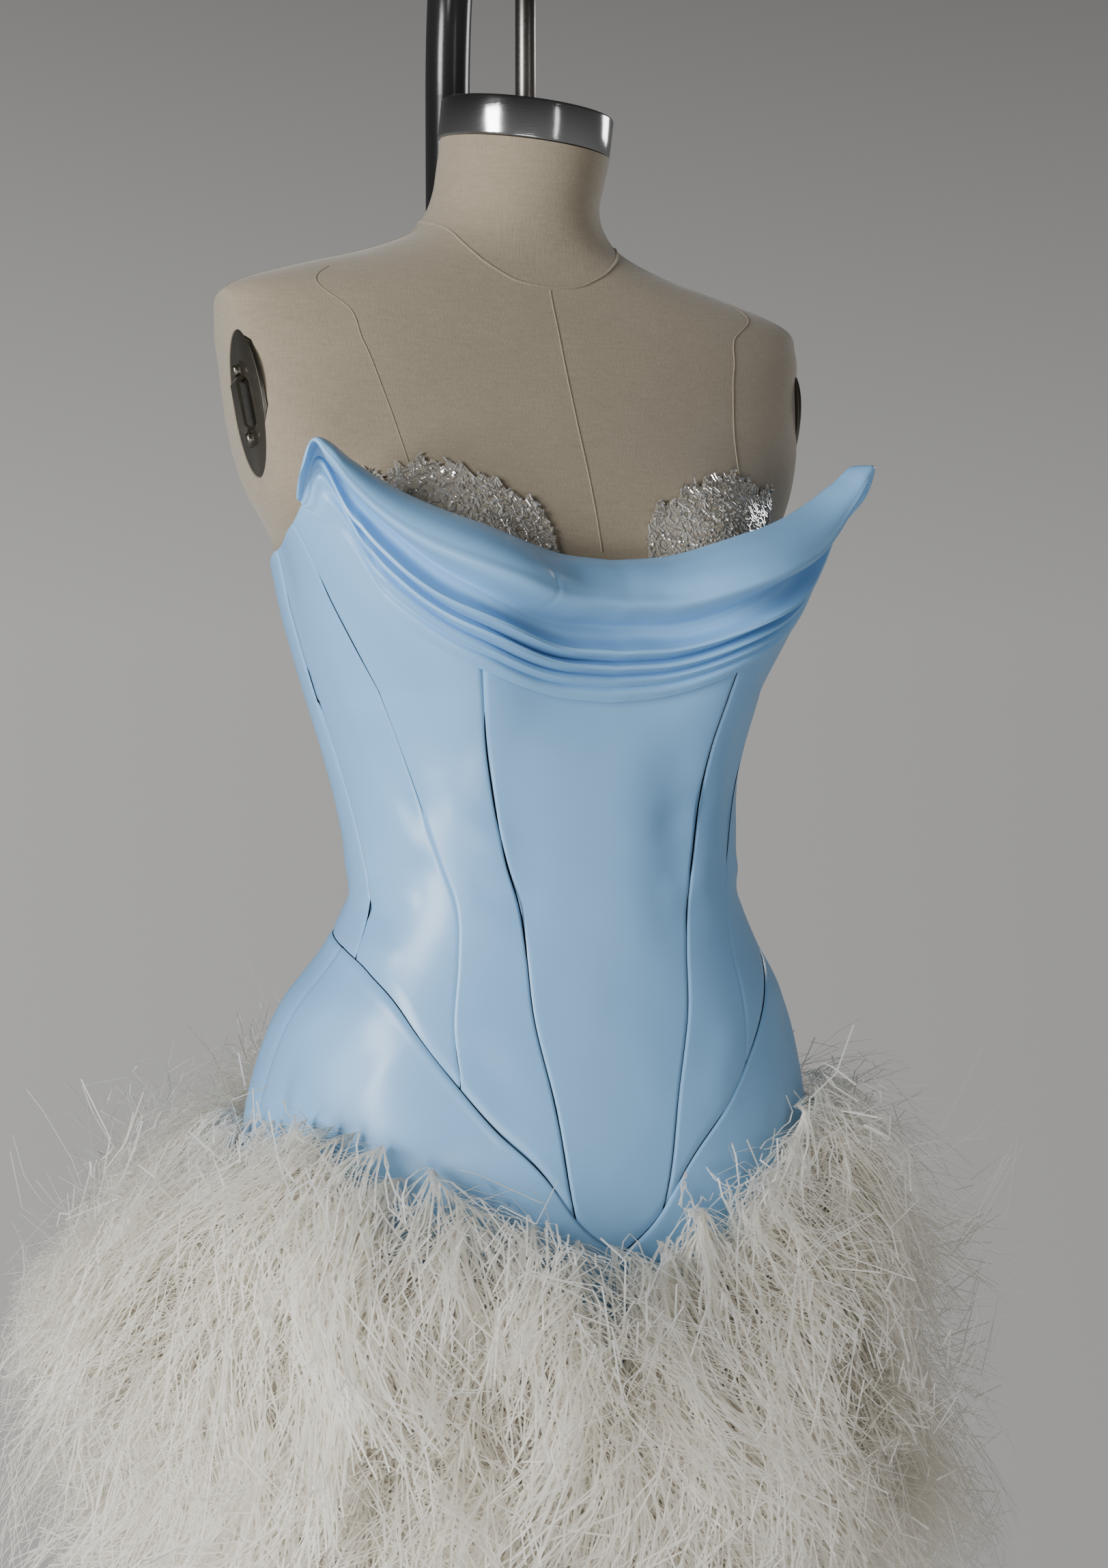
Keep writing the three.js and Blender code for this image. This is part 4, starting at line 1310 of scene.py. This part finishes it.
# --- lace
class BeadTree(Grower):
    """Scatters crystals and bugle beads over a mesh."""

    NAME = "scatter_beads"
    INPUTS = {"Spacing": "Float", "Size": "Float", "Length": "Float", "Seed": "Int"}
    DENSEST = 900000.0
    BUGLE_RADIUS = 0.0004
    BUGLE_SIDES = 6

    def grown(self) -> Socket:
        """Lay each bead on the net at its own turn and size."""
        graph, entry = self.graph, self.entry
        points = graph.add("GeometryNodeDistributePointsOnFaces", {
            "Mesh": entry["Geometry"], "Distance Min": entry["Spacing"], "Density Max": self.DENSEST,
            "Seed": entry["Seed"],
        }, distribute_method="POISSON").outputs
        crystal = graph.add("GeometryNodeMeshIcoSphere", {"Radius": entry["Size"], "Subdivisions": 1})
        bugle = graph.add("GeometryNodeMeshCylinder", {
            "Vertices": self.BUGLE_SIDES, "Radius": self.BUGLE_RADIUS, "Depth": entry["Length"],
        })
        across = graph.add("FunctionNodeAxisAngleToRotation", {"Axis": X_AXIS, "Angle": math.pi / 2})
        laid = graph.add("GeometryNodeTransform", {
            "Geometry": bugle.outputs["Mesh"], "Rotation": across.outputs["Rotation"],
        })
        choice = graph.add("GeometryNodeJoinGeometry")
        for shape in (crystal.outputs["Mesh"], laid.outputs["Geometry"]):
            graph.feed(choice, {0: graph.add("GeometryNodeGeometryToInstance", {0: shape}).outputs[0]})
        pick = graph.add("FunctionNodeRandomValue", {"Seed": 3, 4: 0, 5: 2}, data_type="INT")
        return self.copies(6, {
            "Points": points["Points"], "Instance": choice.outputs[0], "Pick Instance": True,
            "Instance Index": pick.outputs[2], "Scale": self.chance(5, 0.4, 1.6),
            "Rotation": self.turned(points["Rotation"], Z_AXIS, self.chance(4, -math.pi, math.pi)),
        })


@dataclass
class Lace:
    """Two pieces of beaded net that rise out of the cowl over the bust."""

    wardrobe: Wardrobe
    start: float = 8
    stop: float = 47
    clear: float = 1.0
    wall: float = 0.9
    rows: int = 30
    columns: int = 120
    scallop: float = 4.2
    spacing: float = 0.0016
    crystal: float = 0.0009
    bugle: float = 0.0036

    def build(self) -> None:
        """Make the net and the beads on each side."""
        scatter = BeadTree(self.wardrobe.beads)
        for side in Side:
            obj, cut = self.net(side)
            beads = self.beads(obj, side, scatter)
            dress_piece(obj, self.wardrobe.net, [f"lace_{side.label}"])
            dress_piece(beads, None)
            declare_sheet(obj, cut)

    def net(self, side: Side) -> tuple[Object, Cut]:
        """The net, with its scalloped upper edge."""
        spread = np.linspace(self.start, self.stop, self.columns)
        angle = np.tile(spread if side is Side.LEFT else -spread[::-1], (self.rows, 1))
        off = np.abs(angle)
        wave = self.scallop * np.abs(np.sin(np.radians((off - self.start) * 28))) + 1.8 * np.sin(off * 2.3)
        share = np.linspace(0, 1, self.rows)[:, None]
        low = LACE_BOTTOM(off)
        level = low + (LACE_TOP(off) - self.scallop + wave - low) * share

        def surface(a: Array, b: Array) -> Array:
            return FIGURE.skin(a, b, self.clear + self.wall / 2)

        return cloth_shell(f"lace_{side.label}_net", surface, angle, level, self.wall)

    def beads(self, net: Object, side: Side, scatter: BeadTree) -> Object:
        """The beads, scattered over the face of the net."""
        half = self.rows * self.columns
        outer = [tuple(p.vertices) for p in net.data.polygons if max(p.vertices) < half]
        points = np.array([v.co for v in net.data.vertices[:half]]) * METRE
        ground = new_object(f"bead_ground_{side.label}", points, outer)
        return scatter.grow(ground, f"lace_{side.label}_beads", {
            "Spacing": self.spacing, "Size": self.crystal, "Length": self.bugle, "Seed": SEED + side.value,
        })


# --- feathers
class BarbTree(Grower):
    """Grows barbs along the shafts of plumes."""

    NAME = "grow_barbs"
    INPUTS = {
        "Barbs": "Int", "Length": "Float", "Width": "Float", "Splay": "Float", "Droop": "Float",
        "Curl": "Float", "Seed": "Int",
    }
    SEGMENTS = 5
    SEED_STEP = 17.0
    BEND_POWER = 1.8
    STRAY = 0.018
    TIP_WIDTH = 0.3
    WAVE = 9.0
    RIPPLE = 26.0
    RIPPLE_SHARE = 0.3

    def grown(self) -> Socket:
        """Set straight barbs on the shafts, bend them, and give them a flat, tapered section."""
        graph, entry = self.graph, self.entry
        shafts = graph.add("GeometryNodeMeshToCurve", {"Mesh": entry["Geometry"]})
        points = graph.add("GeometryNodeCurveToPoints", {
            "Curve": shafts.outputs["Curve"], "Count": entry["Barbs"],
        }, mode="COUNT").outputs
        spin, splay, size = (
            self.chance(graph.number("ADD", entry["Seed"], self.SEED_STEP * k), low, high)
            for k, (low, high) in enumerate(((-math.pi, math.pi), (0.3, 1.6), (0.4, 1.4)))
        )
        turned = self.turned(points["Rotation"], Z_AXIS, spin)
        line = graph.add("GeometryNodeCurvePrimitiveLine", {"End": Z_AXIS})
        barb = graph.add("GeometryNodeResampleCurve", {
            "Curve": line.outputs["Curve"], "Count": self.SEGMENTS + 1,
        })
        placed = self.copies(8, {
            "Points": points["Points"], "Instance": barb.outputs["Curve"],
            "Rotation": self.turned(turned, X_AXIS, graph.number("MULTIPLY", splay, entry["Splay"])),
            "Scale": graph.number("MULTIPLY", size, entry["Length"]),
        })
        real = graph.add("GeometryNodeRealizeInstances", {"Geometry": placed})
        along = graph.add("GeometryNodeSplineParameter").outputs["Factor"]
        bent = graph.add("GeometryNodeSetPosition", {
            "Geometry": real.outputs["Geometry"], "Offset": self.bend(along),
        })
        sized = graph.add("GeometryNodeSetCurveRadius", {
            "Curve": bent.outputs["Geometry"], "Radius": graph.ranged(along, 1.0, self.TIP_WIDTH),
        })
        ends = {
            end: graph.add("ShaderNodeCombineXYZ", {
                "X": graph.number("MULTIPLY", entry["Width"], share),
            }).outputs[0]
            for end, share in (("Start", -0.5), ("End", 0.5))
        }
        section = graph.add("GeometryNodeCurvePrimitiveLine", ends)
        return graph.add("GeometryNodeCurveToMesh", {
            "Curve": sized.outputs["Curve"], "Profile Curve": section.outputs["Curve"],
        }).outputs["Mesh"]

    def bend(self, along: Socket) -> Socket:
        """How far a barb droops, waves and ripples, more towards its tip."""
        graph = self.graph
        share = graph.number("POWER", along, self.BEND_POWER)
        place = graph.add("GeometryNodeInputPosition").outputs["Position"]
        own = graph.add("GeometryNodeInputNamedAttribute", {"Name": "tint"}, data_type="FLOAT").outputs[0]
        place = graph.vector("ADD", place, graph.number("MULTIPLY", own, self.STRAY))
        droop = graph.number("MULTIPLY", share, self.entry["Droop"])
        fall = graph.add("ShaderNodeCombineXYZ", {"Z": graph.number("MULTIPLY", droop, -1.0)})
        curl = graph.number("MULTIPLY", share, self.entry["Curl"])
        wave = graph.vector("SCALE", self.flutter(place, self.WAVE, 0.0), curl)
        ripple = graph.vector(
            "SCALE", self.flutter(place, self.RIPPLE, 5.0), graph.number("MULTIPLY", curl, self.RIPPLE_SHARE),
        )
        return graph.vector("ADD", graph.vector("ADD", wave, ripple), fall.outputs[0])

    def flutter(self, place: Socket, scale: float, offset: float) -> Socket:
        """A smooth direction field, centred on nothing."""
        moved = self.graph.vector("ADD", place, (offset, offset, offset))
        noise = self.graph.noise(moved, scale, 1.0)
        return self.graph.vector("SUBTRACT", noise.outputs["Color"], (0.5, 0.5, 0.5))


@dataclass(frozen=True)
class Row:
    """One row of plumes: where along the trimming it sits, how far it reaches and how low it hangs."""

    name: str
    nodes: tuple[str, ...]
    share: float
    reach: float
    drop: float
    plumes: int
    lift: float
    length: float
    splay: float
    droop: float
    curl: float


@dataclass
class FeatherSkirt:
    """Rows of ostrich plumes sewn round the skirt, arching out and down."""

    wardrobe: Wardrobe
    centre_y: float = 34
    low_line: float = 745
    low_tip: float = 664
    barbs: int = 140
    crowd: float = 6
    free: float = 250
    outermost: float = 316
    fringe: float = 690
    lowest: float = 640
    barb_width: float = 0.0010
    root_out: float = 9.0
    root_stray: float = 8
    tip_stray: float = 62
    reach_range: tuple[float, float] = (0.86, 1.06)
    hang_range: tuple[float, float] = (0.45, 1.2)
    lift_range: tuple[float, float] = (0, 1.6)
    steps: int = 9
    rows: tuple[Row, ...] = (
        Row("under", (), 0.92, 180, 120, 60, 4, 0.060, 0.90, 0.022, 0.12),
        Row("collar", (), 1.10, 192, 46, 62, 4, 0.052, 0.65, 0.028, 0.15),
        Row("top", ("feather_tier_1",), 1.02, 222, 82, 60, 6, 0.072, 0.70, 0.032, 0.18),
        Row("upper", ("feather_tier_2",), 0.76, 244, 90, 60, 14, 0.088, 0.75, 0.024, 0.25),
        Row("middle", ("feather_tier_3",), 0.44, 248, 88, 60, 14, 0.088, 0.70, 0.020, 0.25),
        Row("lower", ("feather_tier_4",), 0.16, 236, 80, 60, 12, 0.080, 0.65, 0.018, 0.24),
        Row("hem", (), 0.0, 216, 78, 58, 8, 0.066, 0.6, 0.018, 0.15),
    )

    def build(self) -> None:
        """Grow and dress every row."""
        grower = BarbTree(self.wardrobe.ostrich)
        for number, row in enumerate(self.rows):
            shafts = self.shafts(row, np.random.default_rng(SEED + number))
            grown = grower.grow(shafts, f"feathers_{row.name}", {
                "Barbs": self.barbs, "Length": row.length, "Width": self.barb_width, "Splay": row.splay,
                "Droop": row.droop, "Curl": row.curl, "Seed": SEED + 3 * number,
            })
            piece = self.held_in(grown)
            piece.data.shade_smooth()
            dress_piece(piece, None, row.nodes)

    def held_in(self, piece: Object) -> Object:
        """Draw the farthest and lowest barbs in, so that none reaches past the outermost wisps or the hem."""
        centre, free, fringe = (value / METRE for value in (self.centre_y, self.free, self.fringe))
        co = np.zeros(len(piece.data.vertices) * 3)
        piece.data.vertices.foreach_get("co", co)
        co = co.reshape(-1, 3)
        flat = co[:, :2] - (0, centre)
        size = np.linalg.norm(flat, axis=1)
        spare = (self.outermost - self.free) / METRE
        past = np.maximum(size - free, 0)
        drawn = np.where(past > 0, free + spare * np.tanh(past / spare), size)
        co[:, :2] = (0, centre) + flat * (drawn / size)[:, None]
        below = np.maximum(fringe - co[:, 2], 0)
        spare = (self.fringe - self.lowest) / METRE
        co[:, 2] += below - spare * np.tanh(below / spare)
        piece.data.vertices.foreach_set("co", co.ravel())
        piece.data.update()
        return piece

    @staticmethod
    def line(angle: float) -> float:
        """The height of the feather line, fuller at the front and lower at the back."""
        off = abs(angle)
        line = float(FEATHER_LINE(off)) + 10 * math.exp(-((angle / 16) ** 2))
        return line + (12 * math.exp(-(((off - 48) / 24) ** 2)) - 22 * min(max((off - 70) / 30, 0), 1))

    def shafts(self, row: Row, chance: np.random.Generator) -> Object:
        """The shafts of one row as bare edges, each arching from its root to its tip."""
        pitch = 360 / row.plumes
        points, edges = [], []
        for k in range(row.plumes):
            angle = -180 + pitch * (k + chance.uniform(0.1, 0.9))
            angle -= self.crowd * math.sin(math.radians(angle))
            line = self.line(angle)
            root_z = self.low_line + (line - self.low_line) * row.share
            root_z += chance.uniform(-self.root_stray, self.root_stray)
            root = FIGURE.skirt(np.array(angle), np.array(root_z), self.root_out)
            away = np.array((root[0], root[1] - self.centre_y, 0))
            away /= np.linalg.norm(away)
            side = np.array((-away[1], away[0], 0))
            drawn_in = 1 - 0.05 * max(-away[1], 0, 2.4 * away[0])
            reach = row.reach * drawn_in * chance.uniform(*self.reach_range)
            hang = row.drop * (1 + 0.45 * max(-away[1], 0) ** 2)
            tip_z = max(root_z - hang * chance.uniform(*self.hang_range), self.low_tip)
            stray = chance.uniform(-self.tip_stray, self.tip_stray)
            tip = np.array((0, self.centre_y, tip_z)) + away * reach + side * stray
            lift = np.array((0, 0, row.lift * chance.uniform(*self.lift_range)))
            bend = root + away * 0.55 * np.linalg.norm(tip - root) + lift
            t = np.linspace(0, 1, self.steps)[:, None]
            shaft = (1 - t) ** 2 * root + 2 * t * (1 - t) * bend + t * t * tip
            start = len(points)
            points.extend(shaft)
            edges.extend((start + i, start + i + 1) for i in range(self.steps - 1))
        mesh = bpy.data.meshes.new(f"shafts_{row.name}")
        mesh.from_pydata((np.array(points) / METRE).tolist(), edges, [])
        return add_object(f"shafts_{row.name}", mesh)


# --- zip
@dataclass
class Zip:
    """The slider and pull tab of the concealed zip; both keep their own solids."""

    wardrobe: Wardrobe
    softened: float = 0.00018

    def build(self) -> None:
        """Finish the two solids with softened edges."""
        for node, body in (("zip_slider", BODY), ("zip_pull", PULL_BODY)):
            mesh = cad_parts[node].data.copy()
            shape = bmesh.new()
            shape.from_mesh(mesh)
            bmesh.ops.remove_doubles(shape, verts=shape.verts, dist=1e-6)
            bmesh.ops.dissolve_limit(shape, angle_limit=math.radians(2), verts=shape.verts, edges=shape.edges)
            bmesh.ops.bevel(shape, geom=shape.edges, offset=self.softened, segments=2, affect="EDGES")
            shape.to_mesh(mesh)
            shape.free()
            mesh.shade_smooth()
            obj = add_object(f"{node}_rounded", mesh)
            dress_piece(obj, self.wardrobe.zip_metal, [node], body)


# --- studio
@dataclass
class Studio:
    """The camera, the floor and soft light."""

    lens: float = 46.79
    place: Triple = (-0.4922, -1.0945, 1.174)
    turn: float = 25.0
    pitch: float = 3.088
    floor_radius: float = 1350
    fill: float = 0.28
    # Each lamp's name, place, target, width and height, and power.
    lamps: tuple[tuple, ...] = (
        ("key", (-2.35, -1.0, 1.5), (0, 0, 1.1), (0.75, 1.5), 97),
        ("low", (-0.8, -1.7, 0.35), (0, 0, 0.75), (0.9, 0.5), 11),
        ("rim", (1.7, 0.5, 1.9), (0, 0, 1.35), (0.5, 0.5), 8),
        ("strip", (0.7, -2.3, 1.4), (0, 0, 1.1), (0.06, 1.5), 3),
    )

    def camera(self) -> None:
        """Set the camera."""
        data = bpy.data.cameras.new("camera")
        data.lens = self.lens
        data.sensor_width = 36
        camera = add_object("camera", data)
        camera.location = self.place
        camera.rotation_euler = (math.radians(90 - self.pitch), 0, math.radians(-self.turn))
        bpy.context.scene.camera = camera

    def area(self, name: str, place: Triple, target: Triple, size: tuple[float, float], power: float) -> None:
        """A soft light with a width and a height."""
        data = bpy.data.lights.new(name, "AREA")
        data.shape = "RECTANGLE"
        data.size, data.size_y = size
        data.energy = power
        lamp = add_object(name, data)
        lamp.location = place
        lamp.rotation_euler = (Vector(target) - Vector(place)).to_track_quat("-Z", "Y").to_euler()

    def build(self) -> None:
        """Make the floor, the surround and the lamps."""
        floor = lathe("floor", [(self.floor_radius, -20), (self.floor_radius, 0)], 128)
        material, graph, shader = start_material("floor")
        graph.feed(shader, {"Base Color": (0.55, 0.55, 0.56, 1), "Roughness": 0.9})
        floor.data.materials.append(material)
        self.surround()
        for lamp in self.lamps:
            self.area(*lamp)

    def surround(self) -> None:
        """A grey backdrop with painted shade, darker towards the top and the right, over an even dim fill."""
        world = bpy.data.worlds.new("studio")
        bpy.context.scene.world = world
        world.use_nodes = True
        world.node_tree.nodes.clear()
        graph = Graph(world.node_tree)
        way = graph.add("ShaderNodeTexCoord").outputs["Generated"]
        heading = graph.add("ShaderNodeSeparateXYZ", {0: way}).outputs
        upward = graph.ranged(heading["Z"], 0.46, 0.22, 0.02, 0.31)
        sideways = graph.ranged(heading["X"], 1.0, 0.78, 0.15, 0.65)
        backdrop = graph.add("ShaderNodeBackground", {
            "Color": (1.0, 0.985, 0.955, 1), "Strength": graph.number("MULTIPLY", upward, sideways),
        })
        fill = graph.add("ShaderNodeBackground", {
            "Color": (1.0, 0.98, 0.96, 1),
            "Strength": graph.ranged(heading["Z"], self.fill, self.fill / 5, -0.3, 0.5),
        })
        seen = graph.add("ShaderNodeLightPath").outputs["Is Camera Ray"]
        mixed = graph.add("ShaderNodeMixShader", {0: seen, 1: fill.outputs[0], 2: backdrop.outputs[0]})
        graph.add("ShaderNodeOutputWorld", {"Surface": mixed.outputs[0]})


def main() -> None:
    """Build every piece in order; the cloth pieces log their cut sizes."""
    logging.basicConfig(level=logging.INFO, format="%(name)s: %(message)s")
    studio = Studio()
    studio.camera()
    wardrobe = Wardrobe()
    for maker in (DressForm, Stand, Bodice, Skirt, Cowl, Lace, FeatherSkirt, Zip):
        maker(wardrobe).build()
    studio.build()


if __name__ == "__main__":
    main()
